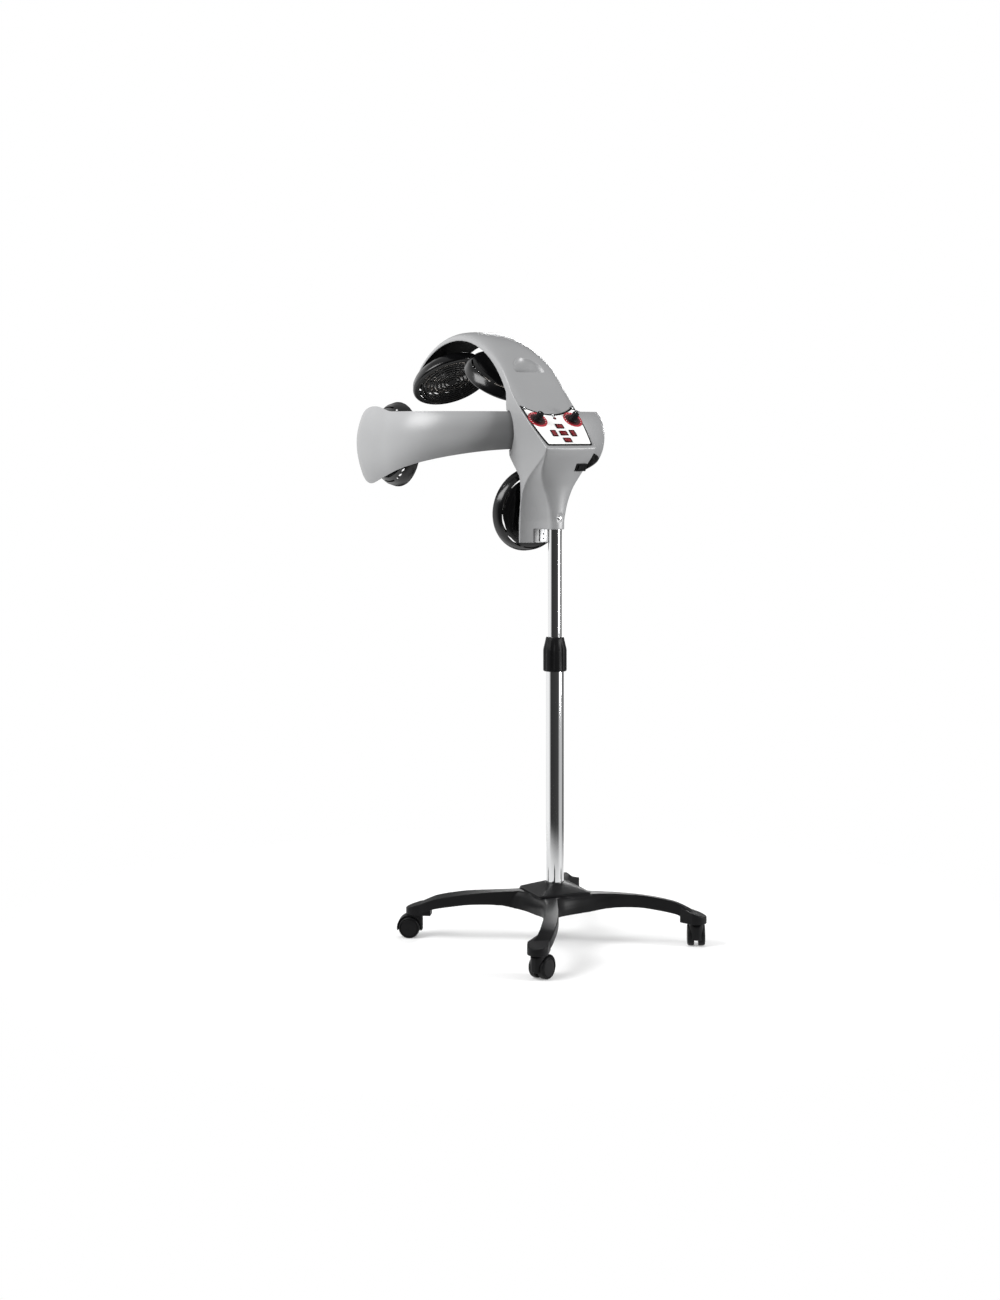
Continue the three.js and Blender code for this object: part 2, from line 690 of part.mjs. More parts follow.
function neckCover() {
  const rings = coverStations.map(([z, y]) => levelStrip(-90, 90, y - wall, y, z));
  const plate = loft(rings).intersect(bodySolid(wall + 1, 20));
  const boss = rod(bossRadius, -75, neckPostEnd - fit, heaterFrames.neck, 14);
  const behind = box(-50, 50, -100, coverYAt(965) - wall, 900, 1200);
  return join(plate, boss.subtract(behind));
}

function levelStrip(x0, x1, y0, y1, z) {
  return [[x0, y0], [x1, y0], [x1, y1], [x0, y1]].map(([x, y]) => new THREE.Vector3(x, y, z));
}

function coverYAt(z) {
  const i = coverStations.findIndex(([top]) => top >= z);
  const [low, high] = [coverStations[Math.max(0, i - 1)], coverStations[Math.max(1, i)]];
  return mix(low[1], high[1], (z - low[0]) / (high[0] - low[0]));
}

function poleBracket() {
  const bore = upperTubeRadius + fit;
  const sleeve = turned([
    [0, upperTubeTop + fit], [bore, upperTubeTop + fit], [bore, 1002], [bore + 2.6, 1002],
    [bore + 2.6, upperTubeTop + 4], [0, upperTubeTop + 4],
  ]);
  const inside = (z) => coverYAt(z) - wall - fit;
  const web = box(-8, 8, bore + 1, inside(1060) - 1, 1042, 1060);
  const strap = loft([bodyFoot + 2, 985, 1045, 1060].map((z) => {
    return levelStrip(-9, 9, inside(z) - 2, inside(z), z);
  }));
  const shelf = box(-46, 46, -26, inside(upperTubeTop), upperTubeTop + 1, upperTubeTop + 4);
  const forward = new THREE.Vector3(0, 1, 0);
  const holes = [946, 957].map((z) => rod(2.4, -60, 60, facing(new THREE.Vector3(0, 60, z), forward), 12));
  return cut(join(sleeve, web, strap, shelf), ...holes);
}

addPiece("head_shell", "shell", headShell());
addPiece("arch_liner", "black", archLiner());
addPiece("neck_cover", "shell", neckCover());
addPiece("pole_bracket", "steel", poleBracket());
addPiece("clamp_screw", "steel", turned([
  [0, upperTubeRadius + fit], [4.2, upperTubeRadius + fit], [4.2, 23.5], [3.4, 24.5], [0, 24.5],
], 12, clampFrame));

// Control panel and its controls
function panelPlate() {
  const top = panelLength;
  const shape = outline([[-panelHalfLow, 2], [panelHalfLow, 2], [panelHalfHigh, top]]);
  const control = new THREE.Vector2(0, top - 2 * panelDip);
  shape.quadraticCurveTo(control.x, control.y, -panelHalfHigh, top);
  const plate = prism(shape, fit, fit + panelThick, panelFrame, 10);
  const cups = Object.values(rockerPlaces).map(([u, v, turn]) => {
    const l = cupLength / 2 + fit;
    const w = cupWidth / 2 + fit;
    return box(-l, l, -w, w, -10, 10, placed(u, v, turn));
  });
  const shafts = [-knobSpread, knobSpread].map((u) => rod(4.2, -10, 10, placed(u, knobUp), 12));
  return cut(plate, ...cups, ...shafts, rod(2.9, -10, 10, placed(0, lampUp), 12));
}

function switchBlock() {
  const across = rockerPitchAcross + 11;
  const along = rockerPitchUp + 11;
  const plates = [
    box(-across, across, rockerUp - 9, rockerUp + 9, -14, -11, panelFrame),
    box(-11, 11, rockerUp - along, rockerUp + along, -14, -11, panelFrame),
  ];
  const cups = Object.values(rockerPlaces).map(([u, v, turn]) => {
    const place = placed(u, v, turn);
    const outside = box(-cupLength / 2, cupLength / 2, -cupWidth / 2, cupWidth / 2, -12, 4, place);
    const l = rockerLength / 2 + 1;
    const w = rockerWidth / 2 + 0.5;
    return outside.subtract(box(-l, l, -w, w, -5, 10, place));
  });
  return join(...plates, ...cups);
}

// Rocker cap in its own frame, level; the pivot is the X-Y plane's Y axis at z = 0
function rockerCap(length, width) {
  const l = length / 2;
  const side = outline([[-l, -3], [l, -3], [l, 2.6], [0, 1], [-l, 2.6]]);
  const upright = new THREE.Matrix4().makeRotationX(Math.PI / 2);
  return new THREE.ExtrudeGeometry(side, { depth: width, bevelEnabled: false })
    .translate(0, 0, -width / 2)
    .applyMatrix4(upright);
}

function tilted(length, width, place, lift) {
  const lean = new THREE.Matrix4().makeRotationY(rad(rockerTilt)).setPosition(0, 0, lift);
  return solidOf(rockerCap(length, width).applyMatrix4(place.clone().multiply(lean)));
}

addPiece("control_panel", "white", panelPlate());
addPiece("switch_block", "black", switchBlock());
Object.entries(rockerPlaces).forEach(([name, [u, v, turn]]) => {
  addPiece(`${name}_rocker`, "red", tilted(rockerLength, rockerWidth, placed(u, v, turn), 2));
});
addPiece("indicator_lamp", "red", turned([
  [0, -8], [2.4, -8], [2.4, 3.4], [1.6, 4.6], [0, 5],
], 10, placed(0, lampUp)));

const shaft = [[3, -4], [3, 13], [0, 13]];
addPiece("heat_control", "steel", turned([
  [0, -20], [14, -20], [14, -4], ...shaft,
], 14, placed(-knobSpread, knobUp)));
const timerBox = box(-20, 20, -20, 20, -38, -wall - fit, placed(knobSpread, knobUp));
addPiece("timer_unit", "steel", join(timerBox, rod(3, -6, 13, placed(knobSpread, knobUp), 16)));

function knob(place) {
  const low = fit + panelThick + 0.6;
  const body = turned([
    [3 + fit, low], [12, low], [12, low + 2.5], [8.6, low + 4], [7.8, low + 19], [6.6, low + 20],
    [0, low + 20], [0, 13 + fit], [3 + fit, 13 + fit],
  ].reverse(), 14, place);
  return join(body, box(-1.3, 1.3, 4.5, 10.5, low + 1, low + 20.8, place));
}
addPiece("heat_knob", "black", knob(placed(-knobSpread, knobUp, 30)));
addPiece("timer_knob", "black", knob(placed(knobSpread, knobUp, 0)));

const switchFrame = join(
  box(-14.5, 14.5, -9.5, 9.5, -0.5, 1.5, powerFrame),
  box(-12.5, 12.5, -7.5, 7.5, -18, 0, powerFrame),
);
const powerWell = box(-10.5, 10.5, -6, 6, -7, 10, powerFrame);
addPiece("power_switch_frame", "black", switchFrame.subtract(powerWell));
addPiece("power_rocker", "black", tilted(19, 11, powerFrame, 0));
const boardLow = upperTubeTop + 4 + fit;
addPiece("control_board", "board", join(
  box(-44, 44, -24, 40, boardLow + 6, boardLow + 8),
  box(-40, -34, -20, 34, boardLow, boardLow + 7),
  box(34, 40, -20, 34, boardLow, boardLow + 7),
  box(-30, 0, -6, 26, boardLow + 7, boardLow + 30),
));

// Arms
function armPath() {
  const stations = [];
  const add = (x, y, outX, outY) => stations.push({ x, y, outX, outY });
  add(hingeX + 5, armTurnY - armTurnRadius, 0, -1);
  for (let a = 0; a <= 90; a += 18) {
    const s = Math.sin(rad(a));
    const c = Math.cos(rad(a));
    add(armTurnX + armTurnRadius * s, armTurnY - armTurnRadius * c, s, -c);
  }
  const straight = armTurnX + armTurnRadius;
  const endY = sideHeaterY + armEndStart;
  add(straight, mix(armTurnY, endY, 0.3), 1, 0);
  add(straight, mix(armTurnY, endY, 0.65), 1, 0);
  [0, 0.4, 0.65, 0.82, 0.93, 0.985].forEach((t) => add(straight, endY + armEndReach * t, 1, 0));
  let length = 0;
  stations.forEach((s, i) => {
    if (i > 0) length += Math.hypot(s.x - stations[i - 1].x, s.y - stations[i - 1].y);
    s.length = length;
  });
  return stations;
}

const armEndStation = 9; // in the list that armPath makes

function armHeights(station, toEnd) {
  const share = Math.min(1, station.length / toEnd);
  const rise = THREE.MathUtils.smoothstep(share, 0.82, 1);
  const past = station.length > toEnd ? (station.length - toEnd) / armEndReach : 0;
  const middle = (armTopEnd + armLowEnd) / 2;
  const topRound = (1 - past ** 3) ** (1 / 3);
  const lowRound = (1 - past ** 2) ** (1 / 2);
  const top = middle + (mix(armTop, armTopEnd, rise) - middle) * topRound;
  const low = middle + (mix(armLow, armLowEnd, share ** 1.6) - middle) * lowRound;
  return { top, low, round: lowRound };
}

function armRings(inset, back, first, last) {
  const stations = armPath();
  const toEnd = stations[armEndStation].length;
  const spread = [-1, -0.85, -0.5, 0, 0.5, 0.85, 1];
  return stations.slice(first, stations.length - last).map((station) => {
    const { top, low, round } = armHeights(station, toEnd);
    const middle = (top + low) / 2;
    const half = (top - low) / 2 - inset;
    const crown = (armCrown - inset) * Math.max(0.3, Math.sqrt(round));
    const at = (t, q) => new THREE.Vector3(
      station.x + station.outX * (q - armCrown),
      station.y + station.outY * (q - armCrown),
      middle + half * t,
    );
    const ring = spread.map((t) => at(t, crown * (1 - Math.abs(t) ** 2.6)));
    if (back > 0) ring.push(at(1, -back), at(-1, -back));
    return ring;
  });
}

function armShell() {
  const shell = cut(loft(armRings(0, 0, 0, 0)), loft(armRings(wall, 2, 1, 2)));
  const place = new THREE.Matrix4().makeTranslation(hingeX, hingeY, 0);
  const barrel = rod(hingeBarrel, armLow, armTop, place);
  return join(shell, barrel).subtract(rod(hingePinRadius + run, 1000, 1400, place, 12));
}

function armCover() {
  const stations = armPath();
  const toEnd = stations[armEndStation].length;
  const rings = stations.slice(2, stations.length - 1).map((station) => {
    const { top, low } = armHeights(station, toEnd);
    const at = (q, z) => new THREE.Vector3(
      station.x + station.outX * (q - armCrown),
      station.y + station.outY * (q - armCrown),
      z,
    );
    const deep = -armCoverThick - fit;
    return [at(-fit, low + 1), at(-fit, top - 1), at(deep, top - 1), at(deep, low + 1)];
  });
  return loft(rings);
}

function mirrored(solid) {
  return solidOf(geometryOf(solid).scale(-1, 1, 1));
}

const arm = armShell();
const cover = armCover();
const pinPlace = (side) => new THREE.Matrix4().makeTranslation(side * hingeX, hingeY, 0);
[["left", -1], ["right", 1]].forEach(([name, side]) => {
  addPiece(`${name}_hinge_pin`, "steel", rod(hingePinRadius, armLow - 10, armTop + 10, pinPlace(side), 12));
  addPiece(`${name}_arm`, "shell", side > 0 ? arm : mirrored(arm));
  addPiece(`${name}_arm_cover`, "black", side > 0 ? cover : mirrored(cover));
});

// Heaters, in their own frame, with a flat of the round towards +X
const facetTurn = new THREE.Matrix4().makeRotationZ(Math.PI / heaterSegments);

function heaterShell(postEnd) {
  const r = heaterRadius;
  const d = heaterDepth;
  const dish = turned([
    [0, -d], [0.55 * r, -0.95 * d], [0.83 * r, -0.74 * d], [0.96 * r, -0.36 * d], [r, 0],
    [r - 2.5, 0], [0.93 * r, -0.34 * d], [0.8 * r, -0.64 * d], [0, -d + 3],
  ], heaterSegments, facetTurn);
  const slotHalf = 0.8 * 0.84 * r * Math.tan(Math.PI / heaterSegments);
  const slots = Array.from({ length: heaterSlots }, (_, i) => {
    const turn = new THREE.Matrix4().makeRotationZ((2 * Math.PI * i) / heaterSlots);
    return box(0.84 * r, 0.9 * r, -slotHalf, slotHalf, -0.9 * d, -0.3 * d, turn);
  });
  const post = turned([
    [0, postEnd], [postRadius, postEnd], [postRadius, -d - 3], [1.6 * postRadius, -d + 1], [0, -d + 1],
  ], 10);
  return join(cut(dish, ...slots), post);
}

function heaterGrille() {
  const r = heaterRadius;
  const plate = outline(arcPoints(0.975 * r, 0, 360, heaterSegments));
  const pitch = 360 / heaterSpokes;
  grilleBands.forEach(([inner, outer]) => {
    for (let i = 0; i < heaterSpokes; i += 1) {
      const turn = (radius) => THREE.MathUtils.radToDeg(spokeHalf / radius);
      const ends = (radius) => [i * pitch + turn(radius), (i + 1) * pitch - turn(radius)];
      const slot = arcPoints(outer * r, ...ends(outer * r), 2);
      slot.push(...arcPoints(inner * r, ...ends(inner * r), 2).reverse());
      plate.holes.push(new THREE.Path(slot.map(([x, y]) => new THREE.Vector2(x, y))));
    }
  });
  return prism(plate, fit, 6);
}

// Points on an arc about the origin, degrees from +X, both ends included unless it is a full turn
function arcPoints(radius, from, to, segments) {
  const count = to - from === 360 ? segments : segments + 1;
  return Array.from({ length: count }, (_, i) => {
    const angle = rad(from + ((to - from) * i) / segments);
    return [radius * Math.cos(angle), radius * Math.sin(angle)];
  });
}

function heaterElement() {
  const ring = solidOf(new THREE.TorusGeometry(elementRing, elementTube, 4, 10).translate(0, 0, -12));
  const feet = [-1, 1].map((side) => {
    const place = new THREE.Matrix4().makeTranslation(side * elementRing, 0, 0);
    return rod(3, -0.68 * heaterDepth, -12, place, 5);
  });
  return join(ring, ...feet);
}

const sidePostEnd = -(armTurnX + armTurnRadius - armCrown - armCoverThick - 2 * fit - sideHeaterX);
const postEnds = {
  brow: archPostEnd, crown: archPostEnd, neck: neckPostEnd, left: sidePostEnd, right: sidePostEnd,
};
const grille = heaterGrille();
const element = heaterElement();
Object.entries(heaterFrames).forEach(([name, frame]) => {
  const group = new THREE.Group();
  group.applyMatrix4(frame);
  addPiece(`${name}_heater_shell`, "gloss", heaterShell(postEnds[name]), group);
  addPiece(`${name}_heater_grille`, "gloss", grille, group);
  addPiece(`${name}_heater_element`, "element", element, group);
  assembly.add(group);
});

// The origin is on the floor under the middle of the whole assembly
const size = new THREE.Box3().setFromObject(assembly, true);
assembly.position.set(-(size.min.x + size.max.x) / 2, -(size.min.y + size.max.y) / 2, -size.min.z);
const part = new THREE.Group();
part.add(assembly);

export default part;
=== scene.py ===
"""Looks of the hair colour processor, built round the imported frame.

Shapes are worked out in millimetres about the mast axis, with the client on the +Y side,
and TO_ROW places them in the frame's metres.
"""

import json
import math

import bmesh
import bpy
from mathutils import Matrix, Vector

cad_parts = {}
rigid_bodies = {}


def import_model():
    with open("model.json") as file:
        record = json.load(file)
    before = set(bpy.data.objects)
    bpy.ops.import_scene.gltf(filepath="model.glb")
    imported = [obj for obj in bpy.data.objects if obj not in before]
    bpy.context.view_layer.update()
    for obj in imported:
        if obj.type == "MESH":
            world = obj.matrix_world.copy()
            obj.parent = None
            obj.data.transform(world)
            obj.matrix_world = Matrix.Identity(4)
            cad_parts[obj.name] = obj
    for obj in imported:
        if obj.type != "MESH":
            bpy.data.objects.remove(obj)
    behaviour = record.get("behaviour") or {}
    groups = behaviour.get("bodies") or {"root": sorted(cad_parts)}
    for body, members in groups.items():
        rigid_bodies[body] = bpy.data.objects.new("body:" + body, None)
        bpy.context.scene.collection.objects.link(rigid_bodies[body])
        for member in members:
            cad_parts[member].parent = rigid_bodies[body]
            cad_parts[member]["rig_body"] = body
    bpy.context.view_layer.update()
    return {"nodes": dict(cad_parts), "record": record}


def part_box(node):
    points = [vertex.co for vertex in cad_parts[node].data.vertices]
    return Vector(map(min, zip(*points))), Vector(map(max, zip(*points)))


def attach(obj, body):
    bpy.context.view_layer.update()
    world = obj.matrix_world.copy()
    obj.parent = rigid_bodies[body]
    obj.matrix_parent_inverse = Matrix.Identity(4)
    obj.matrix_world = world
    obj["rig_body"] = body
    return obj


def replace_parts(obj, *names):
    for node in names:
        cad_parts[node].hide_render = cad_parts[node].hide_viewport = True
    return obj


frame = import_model()
rad = math.radians

# Where the mast stands in the frame
tube_low, tube_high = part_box("lower_tube")
MAST = Vector(((tube_low.x + tube_high.x) / 2, (tube_low.y + tube_high.y) / 2, 0))
TO_ROW = Matrix.Translation(MAST) @ Matrix.Scale(0.001, 4)

# Camera, read from the photograph: level, 33 degrees round to the left, frame shifted down
IMAGE_WIDTH, IMAGE_HEIGHT = 1000, 1300
HORIZON_ROW = 430
FOCAL_PIXELS = 2019
CAMERA_TURN = -33
CAMERA_PLACE = Vector((-2695.4, -3913.3, 1203.5))

# Base
LEG_YAW = 49
CASTER_CIRCLE = 331.5
HUB_TOP = 120
HUB_UNDER = 78
HUB_YAW = 34
HUB_CORNER = 92
HUB_COVER_TOP = 142
HUB_COVER_CURVE = 0.95
HUB_ROUND = 9
HUB_STEP = 6
LEG_BLOCK_RADIUS = 24
LEG_BLOCK_UNDER = 55
LEG_BLOCK_TOP = 78.5
LEG_BLOCK_REACH = 38
LEG_BLOCK_SKEW = -3
LEG_BLOCK_SLOPE = 18
# Distance out, left edge, shoulder, right edge, tops of the three, underside
LEG_STATIONS = [
    (8, 10, -86, -125, 119.8, 119.8, 86, 82),
    (30, 12, -50, -76, 119.8, 119.8, 82, 78),
    (80, 15, -18, -38, 119.5, 119.6, 89, 80),
    (125, 21, -5, -15, 117.5, 119, 104, 85),
    (165, 27, 0, -6, 114.5, 117.5, 112, 87),
    (200, 31, 1, -2, 111, 115.5, 112, 86),
    (240, 33, 3, 0, 105.5, 110.5, 107, 81),
    (280, 31.5, 2, -1, 97.5, 102, 99, 74),
    (306, 28, -3, -6, 88, 90.5, 88, 66),
    (CASTER_CIRCLE, 20, -17, -20, 76, 76, 75, 58),
]
LEG_ROUND_STEPS = 6
WHEEL_RADIUS = 25
WHEEL_WIDTH = 16
WHEEL_INSET = 5
CASTER_TRAIL = 15
CASTER_YAW = (60, 143, 20, 55)
HOOD_HALF_WIDTH = 16.5
HOOD_RADIUS = 29.5
STEM_RADIUS = 5.5
STEM_TOP = 72

# Mast
LOWER_TUBE_RADIUS = 20.65
LOWER_TUBE_FOOT = 88.3
LOWER_TUBE_TOP = 655
UPPER_TUBE_RADIUS = 15.9
UPPER_TUBE_FOOT = 400
UPPER_TUBE_TOP = 1094
COLLAR_FOOT = 637
COLLAR_TOP = 717
COLLAR_RADIUS = 27.7
COLLAR_FLUTES = 8

# Arch
WALL = 3
ARCH_BACK_Y = 95.6
ARCH_BACK_Z = 1334
ARCH_EDGE = 298
ARCH_RISE = 23
ARCH_START = -80
ARCH_STRAIGHT = -49.6
ARCH_END = 52
ARCH_TIP = 14
ARCH_TIP_RISE = 17
ARCH_ROUND = 0.75
ARCH_ROUND_ROOT = 0.25
ARCH_ROUND_FROM = 20
ARCH_ROUND_TO = 50
ARCH_HALF_ROOT = 79.5
ARCH_HALF_TOP = 60
ARCH_HALF_TIP = 51
LINER_GAP = 1
LINER_THICK = 2.4
LINER_SIDE = 3.6
HEAD_RAISE = 21
ARCH_ROOT_Z = 1252
GRIP_HALF_WIDTH = 42
GRIP_LENGTH = 52
GRIP_DEPTH = 20
GRIP_ANGLE = -47.5
ARCH_CROWN = ARCH_EDGE + ARCH_RISE
ARCH_CENTRE_Y = ARCH_BACK_Y + ARCH_CROWN * math.sin(rad(-ARCH_STRAIGHT))
ARCH_CENTRE_Z = ARCH_BACK_Z - ARCH_CROWN * math.cos(rad(-ARCH_STRAIGHT))

# Body by height: z, front half width, front y, crease half width, crease y,
# column half width, column depth, rear y
BODY_STATIONS = [
    (930, 60.5, 63, 60.5, 59, 20.3, 20, -20.3),
    (985, 60.5, 63, 60.5, 57, 20.3, 20, -20.5),
    (1015, 61, 59, 61.5, 54, 24.5, 20, -23),
    (1045, 62.5, 53.5, 63.5, 47, 33, 20, -27),
    (1070, 63, 53, 64.5, 35, 44, 23, -32),
    (1090, 64, 55, 66, 17, 53.5, 22, -39),
    (1108, 66.5, 65, 67, -5, 60, 18, -46.5),
    (1128, 70, 78, 68.5, -33, 64.5, 11, -56.5),
    (1146, 73, 86, 69.5, -56, 67.5, 5, -65),
    (1164, 74, 86.5, 70.5, -68, 69, 1.5, -69.5),
    (1260, 79, 90, 79, -68, 77.5, 1.5, -69.5),
    (1330, 75.5, 96, 79, -68, 77.5, 1.5, -69.5),
]
COLUMN_SQUARE = 0.8
COLUMN_SQUARE_LOW = 1000
COLUMN_SQUARE_HIGH = 1060
BODY_FOOT = 937
BODY_REAR_FOOT = 970
BODY_REAR_STEP = 36
# Front cover by height: z, outer y
COVER_STATIONS = [(937, 54), (985, 52), (1045, 43), (1098, 41), (1139, 86.5), (1295, 91)]

# Control panel and switches
PANEL_Y = -64
PANEL_Z = 1166
PANEL_SLOPE = 43.3
PANEL_HALF_LOW = 62.5
PANEL_HALF_HIGH = 76
PANEL_LENGTH = 137
PANEL_DIP = 30
PANEL_FOOT = 2
PANEL_BOW = 3.5
PANEL_CORNER = 3
PANEL_THICK = 2.3
TRIM_WIDTH = 3.4
KNOB_SPREAD = 50
KNOB_UP = 88
KNOB_TURN = {"heat": 30, "timer": 0}
LAMP_UP = 92
DIAL_RADIUS = 25
DIAL_DARK_RADIUS = 19
ROCKER_UP = 41
ROCKER_PITCH_ACROSS = 26.5
ROCKER_PITCH_UP = 23.5
CUP_LENGTH = 20.4
CUP_WIDTH = 14.2
CLAMP_Z = 997
POWER_PLACE = (40, -49.5, 1116)
POWER_TILT = 25

# Arms
ARM_TURN_X = 85
ARM_TURN_RADIUS = 212
ARM_CROWN = 14
ARM_TOP = 1248
ARM_TOP_END = 1261
ARM_LOW = 1158
ARM_LOW_END = 1078
ARM_END_START = 21
ARM_END_REACH = 87
ARM_COVER_THICK = 2.5
HINGE_X = 62
HINGE_Y = 73
HINGE_SETBACK = 5
HINGE_BARREL = 9.5
ARM_CLEAR = 0.9
ARM_SWINGS = (10, 5, 0, -10, -20)
ARM_TURN_Y = HINGE_Y + ARM_TURN_RADIUS - HINGE_SETBACK

# Heaters
HEATER_RADIUS = 102.5
HEATER_DEPTH = 36
HEATER_DROP = 61
HEATER_SPREAD = 34
SIDE_HEATER = Vector((ARM_TURN_X + ARM_TURN_RADIUS - 62, 332, 1169))
NECK_HEATER = Vector((0, 108.5, 1014.5))
NECK_HEATER_TILT = 10
POST_RADIUS = 11
BOSS_RADIUS = 16
BOSS_PROUD = 2
NECK_POST_END = -46
GRILLE_RINGS = 8
GRILLE_FIRST = 13
GRILLE_LAST = 92
GRILLE_OPEN = 0.52
GRILLE_SPOKE = 4
ELEMENT_RING = 62
ELEMENT_TUBE = 5.5
# Where the posts of the side heaters and of the arch heaters end
SIDE_POST_END = -(62 - ARM_CROWN - ARM_COVER_THICK - 0.6)
ARCH_POST_END = 0.3 + BOSS_PROUD - HEATER_DROP


def lerp(a, b, t):
    return a + (b - a) * t


def hump(t):
    """Rises from 0 to 1 halfway and falls back to 0."""
    return 4 * t * (1 - t)


def smoothstep(value, low, high):
    t = min(1, max(0, (value - low) / (high - low)))
    return t * t * (3 - 2 * t)


def eased(rows, step):
    """Rows between those of a table, on curves with no overshoot; the first column is the place."""
    rises = [[(b - a) / (high[0] - low[0]) for a, b in zip(low, high)] for low, high in zip(rows, rows[1:])]
    slopes = [rises[0]]
    for before, after in zip(rises, rises[1:]):
        slopes.append([2 * a * b / (a + b) if a * b > 0 else 0 for a, b in zip(before, after)])
    slopes.append(rises[-1])
    out = []
    for k, (low, high) in enumerate(zip(rows, rows[1:])):
        span = high[0] - low[0]
        count = max(1, round(span / step))
        for i in range(count):
            t = i / count
            row = [low[0] + span * t]
            for a, b, m, n in list(zip(low, high, slopes[k], slopes[k + 1]))[1:]:
                row.append(
                    a * (1 + 2 * t) * (1 - t) ** 2 + b * t * t * (3 - 2 * t)
                    + span * (m * t * (1 - t) ** 2 - n * t * t * (1 - t))
                )
            out.append(row)
    out.append(list(rows[-1]))
    return out


# Mesh making


def lofted(rings):
    """Closed skin through rings that have the same number of points."""
    bm = bmesh.new()
    rows = [[bm.verts.new(p) for p in ring] for ring in rings]
    count = len(rows[0])
    for low, high in zip(rows, rows[1:]):
        for j in range(count):
            k = (j + 1) % count
            bm.faces.new((low[j], low[k], high[k], high[j]))
    bm.faces.new(rows[0][::-1])
    bm.faces.new(rows[-1])
    bmesh.ops.recalc_face_normals(bm, faces=bm.faces)
    return bm


def turned(profile, segments=96, place=None, closed=True):
    """Solid of revolution about Z from (radius, height) points."""
    bm = bmesh.new()
    circle = [(math.cos(2 * math.pi * i / segments), math.sin(2 * math.pi * i / segments)) for i in range(segments)]
    rows = [[bm.verts.new((r * c, r * s, z)) for c, s in circle] for r, z in profile]
    pairs = list(zip(rows, rows[1:]))
    if closed:
        pairs.append((rows[-1], rows[0]))
    for low, high in pairs:
        for j in range(segments):
            k = (j + 1) % segments
            bm.faces.new((low[j], low[k], high[k], high[j]))
    bmesh.ops.remove_doubles(bm, verts=bm.verts, dist=1e-4)
    bmesh.ops.dissolve_degenerate(bm, edges=bm.edges, dist=1e-4)
    bmesh.ops.recalc_face_normals(bm, faces=bm.faces)
    return moved(bm, place)


def moved(bm, place):
    if place is not None:
        bm.transform(place)
        if place.determinant() < 0:
            bmesh.ops.reverse_faces(bm, faces=bm.faces)
    return bm


def rounded(points, radius, steps=4):
    """A profile or outline with its corners turned into arcs; a point's third value is its own radius."""
    out = []
    count = len(points)
    for i, point in enumerate(points):
        here = Vector(point[:2])
        before = Vector(points[i - 1][:2]) - here
        after = Vector(points[(i + 1) % count][:2]) - here
        reach = min(point[2] if len(point) > 2 else radius, 0.45 * before.length, 0.45 * after.length)
        if reach < 1e-3:
            out.append(tuple(here))
            continue
        start = here + before.normalized() * reach
        end = here + after.normalized() * reach
        for k in range(steps + 1):
            t = k / steps
            out.append(tuple(start * (1 - t) ** 2 + here * 2 * t * (1 - t) + end * t * t))
    return out


def block(x, y, z, place=None):
    bm = bmesh.new()
    corners = [[(x[i], y[j], z[k]) for i, j in ((0, 0), (1, 0), (1, 1), (0, 1))] for k in (0, 1)]
    bm.free()
    return moved(lofted(corners), place)


def prism(outline, low, high, place=None):
    return moved(lofted([[(x, y, z) for x, y in outline] for z in (low, high)]), place)


def ball(x, y, z, place=None):
    bm = bmesh.new()
    bmesh.ops.create_uvsphere(bm, u_segments=64, v_segments=40, radius=1)
    return moved(moved(bm, Matrix.Diagonal((x, y, z, 1))), place)


def together(*parts):
    """One bmesh that holds all the parts side by side."""
    whole = bmesh.new()
    for part in parts:
        mesh = bpy.data.meshes.new("part")
        part.to_mesh(mesh)
        part.free()
        whole.from_mesh(mesh)
        bpy.data.meshes.remove(mesh)
    return whole


def scratch(bm):
    mesh = bpy.data.meshes.new("scratch")
    bm.to_mesh(mesh)
    bm.free()
    obj = bpy.data.objects.new("scratch", mesh)
    bpy.context.scene.collection.objects.link(obj)
    return obj


def collected(obj, *tools):
    """What the object's modifiers make of it, as a bmesh; the scratch objects go."""
    graph = bpy.context.evaluated_depsgraph_get()
    mesh = bpy.data.meshes.new_from_object(obj.evaluated_get(graph))
    bm = bmesh.new()
    bm.from_mesh(mesh)
    bpy.data.meshes.remove(mesh)
    for used in (obj, *tools):
        data = used.data
        bpy.data.objects.remove(used)
        bpy.data.meshes.remove(data)
    return bm


def combined(operation, first, *others):
    base = scratch(first)
    tools = [scratch(other) for other in others]
    for tool in tools:
        step = base.modifiers.new("step", "BOOLEAN")
        step.operation = operation
        step.solver = "MANIFOLD"
        step.object = tool
    return collected(base, *tools)


def join(first, *others):
    return combined("UNION", first, *others)


def cut(first, *others):
    return combined("DIFFERENCE", first, *others)


def meet(first, *others):
    return combined("INTERSECT", first, *others)


def softened(bm, voxel, passes, keep):
    """The same form with its edges and seams run together, as a mould leaves them."""
    obj = scratch(bm)
    grain = obj.modifiers.new("grain", "REMESH")
    grain.mode = "VOXEL"
    grain.voxel_size = voxel
    smooth = obj.modifiers.new("smooth", "SMOOTH")
    smooth.factor = 0.5
    smooth.iterations = passes
    thin = obj.modifiers.new("thin", "DECIMATE")
    thin.ratio = keep
    return collected(obj)


def facing(origin, direction):
    """Frame with its own +Z along the direction and +X kept level."""
    z = Vector(direction).normalized()
    x = Vector((0, 0, 1)).cross(z)
    x = x.normalized() if x.length > 1e-6 else Vector((1, 0, 0))
    turn = Matrix((x, z.cross(x), z)).transposed().to_4x4()
    return Matrix.Translation(origin) @ turn


def turn_z(degrees):
    return Matrix.Rotation(rad(degrees), 4, "Z")


